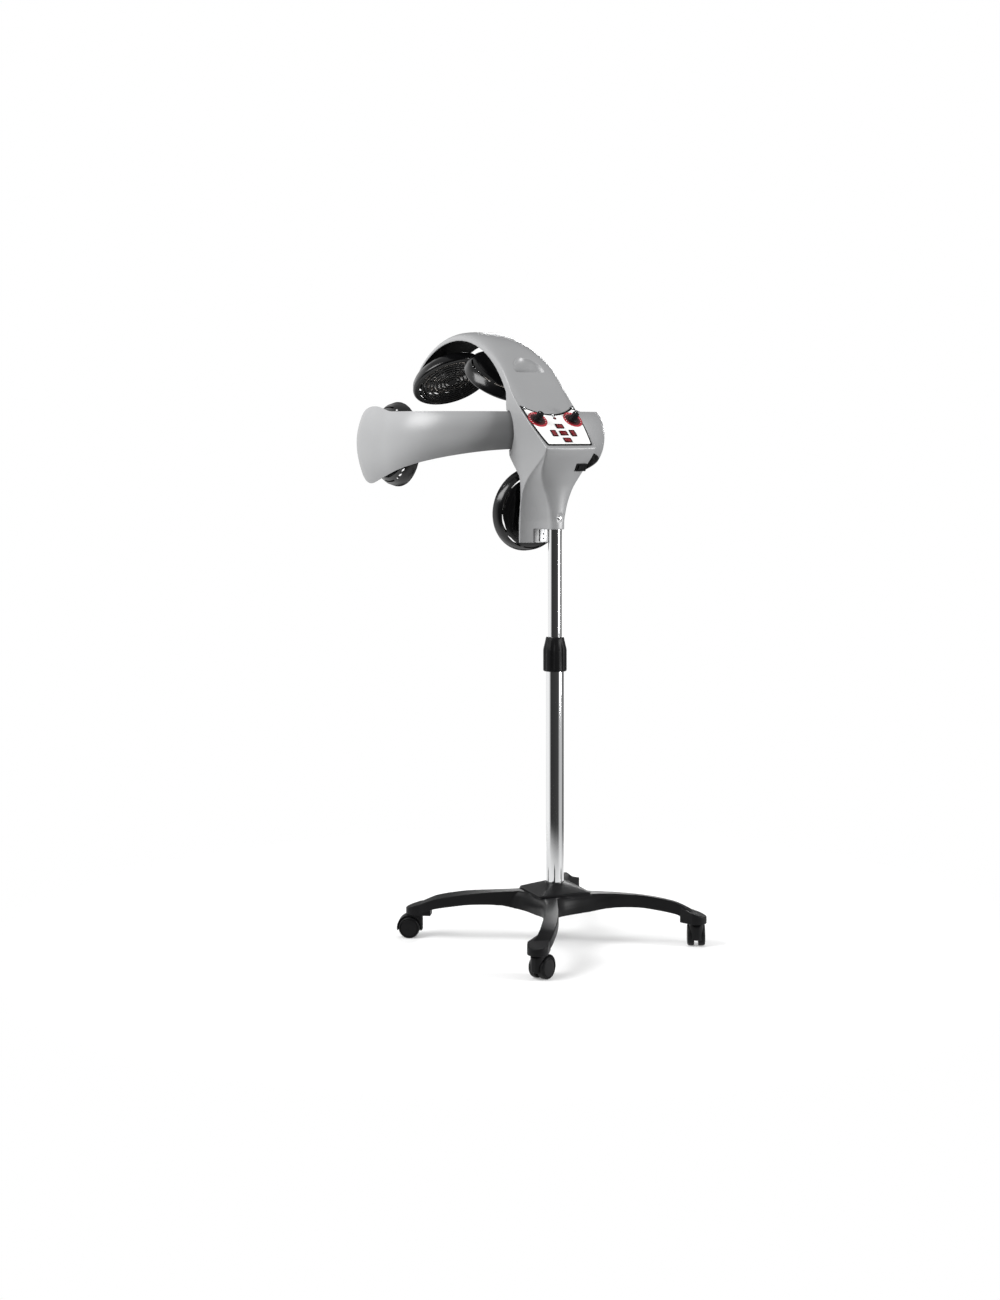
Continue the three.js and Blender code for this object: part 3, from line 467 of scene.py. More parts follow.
# Studio light: the dome's bright side, its strengths, and what shiny things mirror round the horizon,
# as (share of the way round, strength), with the camera's side in the middle
KEY_SIDE = Vector((-0.35, 0.1, 1))
DOME_DIM = 0.04
DOME_BRIGHT = 0.5
BACKGROUND_WHITE = 1.0
MIRRORED = [
    (0.00, 0.06), (0.12, 0.08), (0.17, 0.8), (0.27, 0.8), (0.34, 0.07),
    (0.52, 0.07), (0.58, 1.4), (0.77, 1.4), (0.84, 0.05), (1.00, 0.06),
]
MIRRORED_TOP = 0.55
FLOOR_GLOW = 0.25
FLOOR_WHOLE = 0.5
FLOOR_END = 1.3


# Materials


def new_material(name):
    material = bpy.data.materials.new(name)
    material.use_nodes = True
    nodes = material.node_tree.nodes
    return material, nodes, material.node_tree.links, nodes["Principled BSDF"]


def add_noise(nodes, links, scale, detail=3):
    place = nodes.new("ShaderNodeTexCoord")
    noise = nodes.new("ShaderNodeTexNoise")
    noise.inputs["Scale"].default_value = scale
    noise.inputs["Detail"].default_value = detail
    links.new(place.outputs["Object"], noise.inputs["Vector"])
    return noise


def add_range(nodes, links, source, low, high):
    span = nodes.new("ShaderNodeMapRange")
    span.inputs["From Min"].default_value = 0.3
    span.inputs["From Max"].default_value = 0.7
    span.inputs["To Min"].default_value = low
    span.inputs["To Max"].default_value = high
    links.new(source, span.inputs["Value"])
    return span.outputs["Result"]


def moulded(name, colour, roughness, spread=0.06, grain=1400, depth=0.06, patches=9, coat=0.0, shine=0.5):
    """Moulded plastic: a fine moulded grain, faint patches of shade, uneven gloss."""
    material, nodes, links, shader = new_material(name)
    large = add_noise(nodes, links, patches)
    ramp = nodes.new("ShaderNodeValToRGB")
    ramp.color_ramp.elements[0].position = 0.3
    ramp.color_ramp.elements[1].position = 0.7
    ramp.color_ramp.elements[0].color = (*[c * (1 - spread) for c in colour], 1)
    ramp.color_ramp.elements[1].color = (*[min(1, c * (1 + spread)) for c in colour], 1)
    links.new(large.outputs["Fac"], ramp.inputs["Fac"])
    links.new(ramp.outputs["Color"], shader.inputs["Base Color"])
    middle = add_noise(nodes, links, patches * 14)
    gloss = add_range(nodes, links, middle.outputs["Fac"], roughness - 0.02, roughness + 0.02)
    links.new(gloss, shader.inputs["Roughness"])
    fine = add_noise(nodes, links, grain, 2)
    bump = nodes.new("ShaderNodeBump")
    bump.inputs["Strength"].default_value = depth
    bump.inputs["Distance"].default_value = 0.0004
    links.new(fine.outputs["Fac"], bump.inputs["Height"])
    links.new(bump.outputs["Normal"], shader.inputs["Normal"])
    shader.inputs["Coat Weight"].default_value = coat
    shader.inputs["Coat Roughness"].default_value = 0.12
    shader.inputs["Specular IOR Level"].default_value = shine
    return material


def metal(name, colour, low, high, stretch=(1, 1, 1), scale=60):
    """Plated or plain metal whose gloss varies along its drawing direction."""
    material, nodes, links, shader = new_material(name)
    shader.inputs["Metallic"].default_value = 1
    noise = add_noise(nodes, links, scale, 5)
    drawn = nodes.new("ShaderNodeMapping")
    drawn.inputs["Scale"].default_value = stretch
    place = nodes.new("ShaderNodeTexCoord")
    links.new(place.outputs["Object"], drawn.inputs["Vector"])
    links.new(drawn.outputs["Vector"], noise.inputs["Vector"])
    links.new(add_range(nodes, links, noise.outputs["Fac"], low, high), shader.inputs["Roughness"])
    ramp = nodes.new("ShaderNodeValToRGB")
    ramp.color_ramp.elements[0].color = (*[c * 0.92 for c in colour], 1)
    ramp.color_ramp.elements[1].color = (*colour, 1)
    links.new(noise.outputs["Fac"], ramp.inputs["Fac"])
    links.new(ramp.outputs["Color"], shader.inputs["Base Color"])
    return material


def lens_red(name):
    """Clear red plastic of the switch caps and the lamp."""
    material = moulded(name, (0.17, 0.004, 0.008), 0.22, 0.2, 900, 0.03, 60, 0.3)
    shader = material.node_tree.nodes["Principled BSDF"]
    shader.inputs["Subsurface Weight"].default_value = 0.15
    shader.inputs["Subsurface Radius"].default_value = (0.004, 0.0008, 0.0008)
    return material


FINISHES = {
    "grey_plastic": moulded("grey_plastic", (0.27, 0.272, 0.276), 0.36, 0.03, 1600, 0.05),
    "black_plastic": moulded("black_plastic", (0.006, 0.006, 0.0064), 0.42, 0.15, 1300, 0.12, 14, 0.0, 0.1),
    "gloss_black": moulded("gloss_black", (0.003, 0.003, 0.0034), 0.2, 0.15, 700, 0.02, 12, 0.0, 0.35),
    "white_plastic": moulded("white_plastic", (0.86, 0.86, 0.85), 0.38, 0.015, 1500, 0.02),
    "red_plastic": lens_red("red_plastic"),
    "dial_red": moulded("dial_red", (0.36, 0.018, 0.03), 0.4, 0.08, 1500, 0.02, 40),
    "dial_dark": moulded("dial_dark", (0.045, 0.004, 0.006), 0.4, 0.1, 1500, 0.02, 40),
    "mark_white": moulded("mark_white", (0.8, 0.8, 0.78), 0.45, 0.03, 1500, 0.02, 40),
    "chrome": metal("chrome", (0.62, 0.625, 0.63), 0.05, 0.11, (1, 1, 0.04), 240),
    "steel": metal("steel", (0.22, 0.222, 0.226), 0.34, 0.5, (1, 1, 0.1), 300),
    "reflector": metal("reflector", (0.8, 0.8, 0.79), 0.2, 0.32, (1, 1, 1), 200),
    "element_metal": metal("element_metal", (0.5, 0.46, 0.42), 0.35, 0.55, (1, 1, 1), 160),
    "board_green": moulded("board_green", (0.02, 0.12, 0.05), 0.45, 0.2, 600, 0.05, 50),
}


# Pieces


def piece(name, bm, body, finish, sharp=38, bevel=0.0):
    """A new piece in the row frame that rides on a body."""
    bm.transform(TO_ROW)
    mesh = bpy.data.meshes.new(name)
    bm.to_mesh(mesh)
    bm.free()
    mesh.shade_smooth()
    mesh.set_sharp_from_angle(angle=rad(sharp))
    mesh.materials.append(FINISHES[finish])
    obj = bpy.data.objects.new(name, mesh)
    bpy.context.scene.collection.objects.link(obj)
    if bevel:
        add_bevel(obj, bevel, sharp)
    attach(obj, body)
    return obj


def add_bevel(obj, width, angle):
    edge = obj.modifiers.new("edges", "BEVEL")
    edge.width = width * 0.001
    edge.segments = 3
    edge.limit_method = "ANGLE"
    edge.angle_limit = rad(angle)
    return edge


def dress(node, bm, finish, sharp=38, bevel=0.0):
    """A finer piece that stands for a CAD node."""
    obj = piece(f"{node}_form", bm, frame["nodes"][node]["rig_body"], finish, sharp, bevel)
    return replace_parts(obj, node)


# Base


def leg_solid():
    """One leg: flat on the left, rounded over on the right where it sweeps into the next leg."""
    rings = []
    for out, left, shoulder, right, left_top, top, right_top, under in eased(LEG_STATIONS, 5):
        ring = [(out, left, left_top), (out, left, under), (out, right, under)]
        for k in range(LEG_ROUND_STEPS + 1):
            turn = math.pi / 2 * k / LEG_ROUND_STEPS
            y = lerp(shoulder, right, math.cos(turn))
            ring.append((out, y, lerp(right_top, top, math.sin(turn))))
        rings.append(ring)
    return join(lofted(rings), leg_end())


def leg_end():
    """Block over the caster: round outside, square inside, its top sloping on from the leg."""
    r = LEG_BLOCK_RADIUS
    plan = [(CASTER_CIRCLE + r * math.sin(rad(a)), -r * math.cos(rad(a))) for a in range(0, 181, 6)]
    inside = CASTER_CIRCLE - LEG_BLOCK_REACH
    plan += [(inside, r), (inside, LEG_BLOCK_SKEW), (CASTER_CIRCLE - 8, -r)]
    end = prism(plan, LEG_BLOCK_UNDER, LEG_BLOCK_TOP + 40)
    slope = Matrix.Translation((CASTER_CIRCLE, 0, LEG_BLOCK_TOP)) @ Matrix.Rotation(rad(LEG_BLOCK_SLOPE), 4, "Y")
    return cut(end, block((-200, 200), (-200, 200), (0, 200), slope))


def hub_outline(corner):
    angles = [rad(HUB_YAW + 90 * i) for i in range(4)]
    return [(corner * math.cos(a), corner * math.sin(a)) for a in angles]


def base_star():
    legs = [moved(leg_solid(), turn_z(LEG_YAW + 90 * i)) for i in range(4)]
    hub = prism(hub_outline(HUB_CORNER - 1), HUB_UNDER, HUB_TOP)
    sockets = []
    for i in range(4):
        place = turn_z(LEG_YAW + 90 * i) @ Matrix.Translation((CASTER_CIRCLE, 0, 0))
        r = STEM_RADIUS + 0.6
        sockets.append(turned([(0, 40), (r, 40), (r, STEM_TOP + 1), (0, STEM_TOP + 1)], 32, place))
    above = block((-200, 200), (-200, 200), (HUB_TOP, 200))
    r = LOWER_TUBE_RADIUS + 0.4
    bore = turned([(0, LOWER_TUBE_FOOT - 0.4), (r, LOWER_TUBE_FOOT - 0.4), (r, 200), (0, 200)], 64)
    bolt = turned([(0, 40), (6, 40), (6, 200), (0, 200)], 32)
    star = cut(join(hub, *legs), above, bore, bolt, *sockets)
    return softened(star, 1.3, 4, 0.35)


def hub_cover():
    corners = rounded(hub_outline(HUB_CORNER), HUB_ROUND, 6)
    foot = []
    for i, (x, y) in enumerate(corners):
        nx, ny = corners[(i + 1) % len(corners)]
        steps = max(1, round(math.hypot(nx - x, ny - y) / HUB_STEP))
        foot += [Vector((lerp(x, nx, k / steps), lerp(y, ny, k / steps))) for k in range(steps)]
    neck = LOWER_TUBE_RADIUS + 4

    def ring(share, z):
        return [(*(p * lerp(1, neck / p.length, share)), z) for p in foot]

    low = HUB_TOP + 0.3
    rise = HUB_COVER_TOP - low - 2
    rings = [ring(0, low), ring(0, low + 2.6), ring(0.012, low + 3.3)]
    rings += [ring(s / 24, low + 3.4 + (rise - 1.4) * (s / 24) ** HUB_COVER_CURVE) for s in range(1, 25)]
    bore = turned([(0, 100), (LOWER_TUBE_RADIUS + 0.3, 100), (LOWER_TUBE_RADIUS + 0.3, 200), (0, 200)], 96)
    return cut(lofted(rings), bore)


def caster_hood():
    upright = Matrix.Rotation(math.pi / 2, 4, "X")
    points = [(-16, 17), (-16, 48), (-11, 54.6), (CASTER_TRAIL, WHEEL_RADIUS + HOOD_RADIUS)]
    for a in range(84, -13, -8):
        x = CASTER_TRAIL + HOOD_RADIUS * math.cos(rad(a))
        points.append((x, WHEEL_RADIUS + HOOD_RADIUS * math.sin(rad(a))))
    points.append((CASTER_TRAIL + 16, 17))
    h = HOOD_HALF_WIDTH
    plan = [(h * math.cos(rad(a)), h * math.sin(rad(a))) for a in range(90, 271, 10)] + [(60, -h), (60, h)]
    side = meet(prism(rounded(points, 3), -h, h, upright), prism(plan, 0, 80))
    across = Matrix.Translation((CASTER_TRAIL, 0, WHEEL_RADIUS)) @ upright
    inner = WHEEL_INSET - 0.8
    r = WHEEL_RADIUS + 1.6
    wells = [turned([(0, a), (r, a), (r, b), (0, b)], 64, across) for a, b in ((inner, 40), (-40, -inner))]
    bore = turned([(0, -40), (3.6, -40), (3.6, 40), (0, 40)], 32, across)
    stem = turned([(0, 50), (STEM_RADIUS, 50), (STEM_RADIUS, STEM_TOP), (0, STEM_TOP)], 32)
    return softened(cut(join(side, stem), *wells, bore), 0.75, 4, 0.3)


def wheel_pair():
    upright = Matrix.Rotation(math.pi / 2, 4, "X")
    across = Matrix.Translation((CASTER_TRAIL, 0, WHEEL_RADIUS)) @ upright
    r, w = WHEEL_RADIUS, WHEEL_WIDTH
    profile = rounded([
        (0, 0, 0), (r - 1, 0, 1), (r, 1.5, 1.2), (r, w - 3.5, 2.5), (r - 2.6, w - 0.6, 1), (r - 3.4, w - 0.6, 0.4),
        (r - 3.8, w - 2.4, 0.4), (r - 5.2, w - 2.4, 0.4), (r - 5.8, w - 0.8, 0.6), (9, w, 2), (0, w, 0),
    ], 1)
    wheels = []
    for side in (1, -1):
        wheels.append(turned([(a, side * (WHEEL_INSET + h)) for a, h in profile], 72, across))
    axle = turned([(0, -10), (3, -10), (3, 10), (0, 10)], 32, across)
    return together(*wheels, axle)


def build_base():
    dress("base_star", base_star(), "black_plastic", 60)
    dress("hub_cover", hub_cover(), "black_plastic", 30)
    hood = caster_hood()
    for i, yaw in enumerate(CASTER_YAW):
        place = turn_z(LEG_YAW + 90 * i) @ Matrix.Translation((CASTER_CIRCLE, 0, 0))
        place = Matrix.Translation(place.translation) @ turn_z(yaw)
        dress(f"caster_hood_{i + 1}", moved(hood.copy(), place), "black_plastic", 60)
        dress(f"caster_wheels_{i + 1}", moved(wheel_pair(), place), "black_plastic")
    hood.free()


# Mast


def tube(radius, wall, low, high):
    return turned(rounded([(radius, low), (radius, high), (radius - wall, high), (radius - wall, low)], 0.6), 128)


def lock_collar():
    count = COLLAR_FLUTES * 16

    def ring(radius, depth, z, rim=0.0):
        points = []
        for i in range(count):
            angle = 2 * math.pi * i / count
            wave = max(0, math.cos(COLLAR_FLUTES * angle)) ** 0.7
            r = radius - depth * wave
            points.append((r * math.cos(angle), r * math.sin(angle), z - rim * wave))
        return points

    tall = COLLAR_TOP - COLLAR_FOOT
    r = COLLAR_RADIUS
    body = lofted([
        ring(r - 2, 0.2, COLLAR_FOOT), ring(r - 0.7, 0.6, COLLAR_FOOT + 0.7), ring(r, 1, COLLAR_FOOT + 2.4),
        ring(r, 2, COLLAR_FOOT + 6), ring(r, 2.2, COLLAR_FOOT + 0.5 * tall), ring(r, 2.2, COLLAR_FOOT + 0.6 * tall, 1),
        ring(r - 0.5, 2.2, COLLAR_FOOT + 0.66 * tall, 2), ring(r - 2, 1.6, COLLAR_FOOT + 0.74 * tall, 2),
        ring(r - 3.6, 0.9, COLLAR_FOOT + 0.82 * tall, 1), ring(r - 5, 0.3, COLLAR_FOOT + 0.9 * tall),
        ring(r - 6.2, 0.1, COLLAR_TOP - 2.5), ring(r - 7, 0, COLLAR_TOP - 0.8), ring(r - 8.2, 0, COLLAR_TOP),
    ])
    over = LOWER_TUBE_RADIUS + 0.4
    slide = UPPER_TUBE_RADIUS + 0.4
    middle = over - 2
    bore = turned([
        (0, COLLAR_FOOT - 1), (over, COLLAR_FOOT - 1), (over, LOWER_TUBE_TOP + 9), (middle, LOWER_TUBE_TOP + 9),
        (middle, COLLAR_TOP - 14), (slide, COLLAR_TOP - 14), (slide, COLLAR_TOP + 1), (0, COLLAR_TOP + 1),
    ], 96)
    return cut(body, bore)


def build_mast():
    dress("lower_tube", tube(LOWER_TUBE_RADIUS, 1.8, LOWER_TUBE_FOOT, LOWER_TUBE_TOP), "chrome")
    dress("upper_tube", tube(UPPER_TUBE_RADIUS, 1.6, UPPER_TUBE_FOOT, UPPER_TUBE_TOP), "chrome")
    dress("lock_collar", lock_collar(), "black_plastic", 45)


# Head


def arch_half(angle):
    bend = (ARCH_HALF_ROOT + ARCH_HALF_TIP) / 2 - ARCH_HALF_TOP
    t = max(angle, -55) / 60
    return ARCH_HALF_TOP + (ARCH_HALF_TIP - ARCH_HALF_ROOT) / 2 * t + bend * t * t


def arch_tip(angle):
    into = max(0, (angle - ARCH_END + ARCH_TIP) / ARCH_TIP)
    return math.sqrt(max(0, 1 - into * into))


def arch_crown_at(angle):
    return ARCH_CROWN / math.cos(rad(max(0, ARCH_STRAIGHT - angle)))


def arch_point(x, radius, angle):
    return Vector((
        x, ARCH_CENTRE_Y + radius * math.sin(rad(angle)), ARCH_CENTRE_Z + radius * math.cos(rad(angle)),
    ))


def arch_angles(first, last_share):
    tip_start = ARCH_END - ARCH_TIP
    count = round((tip_start - first) / 2)
    angles = [lerp(first, tip_start, i / count) for i in range(count)]
    quarter = math.asin(last_share)
    return angles + [tip_start + ARCH_TIP * math.sin(quarter * i / 12) for i in range(13)]


def arch_solid(inset, foot, last_share):
    steps = 36
    rings = []
    for angle in arch_angles(ARCH_START, last_share):
        tip = arch_tip(angle)
        half = arch_half(angle) * tip - inset
        slim = (ARCH_RISE - ARCH_TIP_RISE) * smoothstep(angle, 0, ARCH_END)
        rise = (arch_crown_at(angle) - ARCH_EDGE - slim) * lerp(1, tip, 0.75) - inset
        power = lerp(ARCH_ROUND, ARCH_ROUND_ROOT, smoothstep(-angle, ARCH_ROUND_FROM, ARCH_ROUND_TO))
        ring = []
        for i in range(steps + 1):
            t = math.pi * i / steps
            x = half * math.copysign(abs(math.cos(t)) ** power, math.cos(t))
            up = -foot if i in (0, steps) else rise * math.sin(t) ** power
            ring.append(arch_point(x, ARCH_EDGE + up, angle))
        rings.append(ring)
    return lofted(rings)


def body_ring(station, inset, front_grow):
    z, front_half, front_y, crease_half, crease_y, column_half, depth, rear_y = station
    front = Vector((front_half - inset, front_y + front_grow))
    crease = Vector((crease_half - inset, crease_y + inset))
    column = Vector((column_half - inset, rear_y + depth + 0.6 * inset))
    rear = rear_y + inset
    square = lerp(COLUMN_SQUARE, 1, smoothstep(z, COLUMN_SQUARE_LOW, COLUMN_SQUARE_HIGH))
    pull = Vector((lerp(crease.x, column.x, 0.72), lerp(crease.y, column.y, 0.3)))
    half = [front.lerp(crease, k / 4) for k in range(4)]
    for k in range(12):
        t = k / 12
        half.append(crease * (1 - t) ** 2 + pull * 2 * t * (1 - t) + column * t * t)
    for k in range(12):
        a = math.pi / 2 * k / 12
        across = math.cos(a) ** square
        back = math.sin(a) ** square
        half.append(Vector((column.x * across, column.y - (column.y - rear) * back)))
    right = [(p.x, p.y, z) for p in half]
    left = [(-p.x, p.y, z) for p in reversed(half)]
    return right + [(0, rear, z)] + left


def body_solid(inset, front_grow):
    return lofted([body_ring(row, inset, front_grow) for row in eased(BODY_STATIONS, 5)])


PANEL = Matrix.Translation((0, PANEL_Y, PANEL_Z)) @ Matrix.Rotation(rad(PANEL_SLOPE), 4, "X")
POWER = Matrix.Translation(POWER_PLACE) @ Matrix.Rotation(rad(90 + POWER_TILT), 4, "X")
CLAMP = facing((0, 0, CLAMP_Z), (0, -1, 0))
ROCKERS = {
    "brow": (0, ROCKER_UP + ROCKER_PITCH_UP, 0),
    "left": (-ROCKER_PITCH_ACROSS, ROCKER_UP, 90),
    "crown": (0, ROCKER_UP, 0),
    "right": (ROCKER_PITCH_ACROSS, ROCKER_UP, 90),
    "neck": (0, ROCKER_UP - ROCKER_PITCH_UP, 0),
}


def on_panel(across, up, turn=0):
    return PANEL @ Matrix.Translation((across, up, 0)) @ turn_z(turn)


def grip_scoop(grow):
    out = Vector((0, math.sin(rad(GRIP_ANGLE)), math.cos(rad(GRIP_ANGLE))))
    place = facing(arch_point(0, arch_crown_at(GRIP_ANGLE), GRIP_ANGLE), out)
    scoop = ball(GRIP_HALF_WIDTH + grow, GRIP_LENGTH + grow, GRIP_DEPTH + grow, place)
    ledge = block((-200, 200), (-200, -grow), (-200, 200), place)
    return cut(scoop, ledge)


def above_body(depth):
    """Room above the panel's slope, and above the steeper slope that runs on under the arch."""
    steeper = (-ARCH_STRAIGHT - PANEL_SLOPE) / 2
    arch_foot = PANEL @ Matrix.Translation((0, PANEL_LENGTH, 0)) @ Matrix.Rotation(rad(steeper), 4, "X")
    return [
        block((-200, 200), (-200, PANEL_LENGTH), (-depth, 400), PANEL),
        block((-200, 200), (0, 400), (-depth, 400), arch_foot),
    ]


def head_shell():
    below = block((-200, 200), (-200, 200), (800, BODY_FOOT))
    below_rear = block((-200, 200), (-200, BODY_REAR_STEP), (800, BODY_REAR_FOOT))
    under_root = block((-200, 200), (-200, 400), (800, ARCH_ROOT_Z))
    outer = join(cut(arch_solid(0, 0, 0.999), under_root.copy()), cut(body_solid(0, 0), *above_body(0), below, below_rear))
    inner = join(cut(arch_solid(WALL, 4, 0.75), under_root), cut(body_solid(WALL, 1), *above_body(WALL)))
    cup = meet(grip_scoop(WALL), outer.copy())
    shell = cut(join(cut(outer, inner), cup), grip_scoop(0))
    openings = []
    for side in (-1, 1):
        for swing in ARM_SWINGS:
            openings.append(moved(arm_slot(swing), Matrix.Diagonal((side, 1, 1, 1))))
    tube_hole = UPPER_TUBE_RADIUS + 0.4
    sleeve = UPPER_TUBE_RADIUS + 3.4
    openings += [
        turned([(0, 900), (tube_hole, 900), (tube_hole, 1019), (0, 1019)], 64),
        turned([(0, 1018), (sleeve, 1018), (sleeve, 1110), (0, 1110)], 64),
        block((-14.8, 14.8), (-9.8, 9.8), (-0.8, 10), POWER),
        block((-12.8, 12.8), (-7.8, 7.8), (-30, 10), POWER),
        turned([(0, 0), (4.6, 0), (4.6, 60), (0, 60)], 32, CLAMP),
        prism(rounded([(-8, -8), (8, -8), (8, 13), (-8, 13)], 7), 19.9, 40, CLAMP @ Matrix.Rotation(rad(4.8), 4, "X")),
    ]
    for across, up, r in ((-KNOB_SPREAD, KNOB_UP, 4.2), (KNOB_SPREAD, KNOB_UP, 4.2), (0, LAMP_UP, 2.9)):
        openings.append(turned([(0, -20), (r, -20), (r, 20), (0, 20)], 32, on_panel(across, up)))
    reach = ROCKER_PITCH_ACROSS + 13
    openings.append(block((-reach, reach), (ROCKER_UP - 36, ROCKER_UP + 36), (-20, 20), PANEL))
    return softened(cut(shell, *openings), 1.25, 5, 0.3)


def arch_heater(angle):
    out = Vector((0, math.sin(rad(angle)), math.cos(rad(angle))))
    rise = HEAD_RAISE * math.cos(rad(angle))
    to_liner = math.sqrt((ARCH_EDGE + LINER_GAP) ** 2 - HEAD_RAISE**2 + rise**2) - rise
    head = Vector((0, ARCH_CENTRE_Y, ARCH_CENTRE_Z + HEAD_RAISE))
    return facing(head + out * (to_liner - HEATER_DROP), -out)


NECK_OUT = Vector((0, math.cos(rad(NECK_HEATER_TILT)), math.sin(rad(NECK_HEATER_TILT))))
HEATERS = {
    "brow": (arch_heater(HEATER_SPREAD), ARCH_POST_END),
    "crown": (arch_heater(-HEATER_SPREAD), ARCH_POST_END),
    "neck": (facing(NECK_HEATER, NECK_OUT), NECK_POST_END),
    "left": (facing((-SIDE_HEATER.x, SIDE_HEATER.y, SIDE_HEATER.z), (1, 0, 0)), SIDE_POST_END),
    "right": (facing(SIDE_HEATER, (-1, 0, 0)), SIDE_POST_END),
}


def arch_liner():
    low = ARCH_EDGE + LINER_GAP
    high = low + LINER_THICK
    rings = []
    for angle in arch_angles(-52, 0.75):
        half = arch_half(angle) * arch_tip(angle) - WALL - LINER_SIDE
        corners = ((-half, low), (half, low), (half, high), (-half, high))
        rings.append([arch_point(x, r, angle) for x, r in corners])
    bosses = []
    for name in ("brow", "crown"):
        top = BOSS_PROUD - HEATER_DROP
        profile = rounded([(0, top - 5, 0), (BOSS_RADIUS, top - 5, 0), (BOSS_RADIUS, top, 1), (0, top, 0)], 1)
        bosses.append(turned(profile, 48, HEATERS[name][0]))
    return join(lofted(rings), *bosses)


def neck_cover():
    rows = eased(COVER_STATIONS, 5)
    rings = [[(-90, y - WALL, z), (90, y - WALL, z), (90, y, z), (-90, y, z)] for z, y in rows]
    plate = meet(lofted(rings), body_solid(WALL + 0.6, 20))
    top = NECK_POST_END - 0.3
    boss = turned(rounded([
        (0, top - 22, 0), (BOSS_RADIUS, top - 22, 0), (BOSS_RADIUS, top, 1.5), (0, top, 0),
    ], 1), 48, HEATERS["neck"][0])
    behind = block((-50, 50), (-100, 48), (900, 1200))
    return join(plate, cut(boss, behind))


def clamp_screw():
    head = turned(rounded([
        (0, 16.2, 0), (3.4, 16.2, 0), (3.4, 19, 0), (5.6, 19, 0.5), (5.6, 22, 1.6), (3, 23.6, 1.5), (0, 23.8, 0),
    ], 1), 48, CLAMP)
    cross = [block((-3.4, 3.4), (-0.6, 0.6), (22, 30), CLAMP), block((-0.6, 0.6), (-3.4, 3.4), (22, 30), CLAMP)]
    return cut(head, *cross)


def build_head():
    dress("head_shell", head_shell(), "grey_plastic", 60)
    dress("arch_liner", arch_liner(), "black_plastic")
    dress("neck_cover", neck_cover(), "grey_plastic")
    dress("clamp_screw", clamp_screw(), "chrome")


# Panel


def panel_outline(inset):
    """Panel edge: bowed sides that widen upwards, and a top that dips to clear the arch."""
    half_low = PANEL_HALF_LOW - inset
    half_high = PANEL_HALF_HIGH - inset * 1.25
    low = PANEL_FOOT + inset
    high = PANEL_LENGTH - inset * 2.6
    dip = PANEL_DIP - inset * 0.9
    side = []
    for k in range(13):
        t = k / 12
        side.append((lerp(half_low, half_high, t) + PANEL_BOW * hump(t), lerp(low, high, t)))
    top = [(lerp(half_high, -half_high, k / 40), high - dip * hump(k / 40)) for k in range(1, 40)]
    edge = side + top + [(-x, y) for x, y in reversed(side)]
    corners = (edge[0], edge[-1])
    return rounded([(x, y, PANEL_CORNER if (x, y) in corners else 0) for x, y in edge], 0)


def screw(place):
    head = turned(rounded([
        (0, 0, 0), (3.2, 0, 0), (3.2, 0.9, 0.6), (1.6, 1.6, 1), (0, 1.7, 0),
    ], 0.5), 40, place)
    slots = [block((-2, 2), (-0.4, 0.4), (0.9, 3), place), block((-0.4, 0.4), (-2, 2), (0.9, 3), place)]
    return cut(head, *slots)


def panel_holes():
    holes = []
    for across, up, turn in ROCKERS.values():
        half = ((-CUP_LENGTH / 2 - 0.2, CUP_LENGTH / 2 + 0.2), (-CUP_WIDTH / 2 - 0.2, CUP_WIDTH / 2 + 0.2))
        holes.append(block(*half, (-10, 10), on_panel(across, up, turn)))
    for across, up, r in ((-KNOB_SPREAD, KNOB_UP, 4.2), (KNOB_SPREAD, KNOB_UP, 4.2), (0, LAMP_UP, 2.9)):
        holes.append(turned([(0, -10), (r, -10), (r, 10), (0, 10)], 32, on_panel(across, up)))
    return holes


def knob_form(place):
    low = 2.9
    profile = rounded([
        (3.3, low, 0), (12, low, 0.5), (12, low + 2.5, 1), (9, low + 4, 1), (7.9, low + 19, 0), (7.2, low + 20.4, 0.9),
        (5.6, low + 20.4, 0.3), (5.2, low + 19.8, 0.3), (0, low + 19.8, 0), (0, 13.3, 0), (3.3, 13.3, 0),
    ], 0.5)
    body = turned(profile, 96)
    for vert in body.verts:
        reach = math.hypot(vert.co.x, vert.co.y)
        if 7 < reach < 9.3 and vert.co.z > low + 4.2:
            angle = math.atan2(vert.co.y, vert.co.x)
            groove = 1 - 0.055 * max(0, math.cos(18 * angle)) ** 0.6
            vert.co.x *= groove
            vert.co.y *= groove
    return moved(body, place)


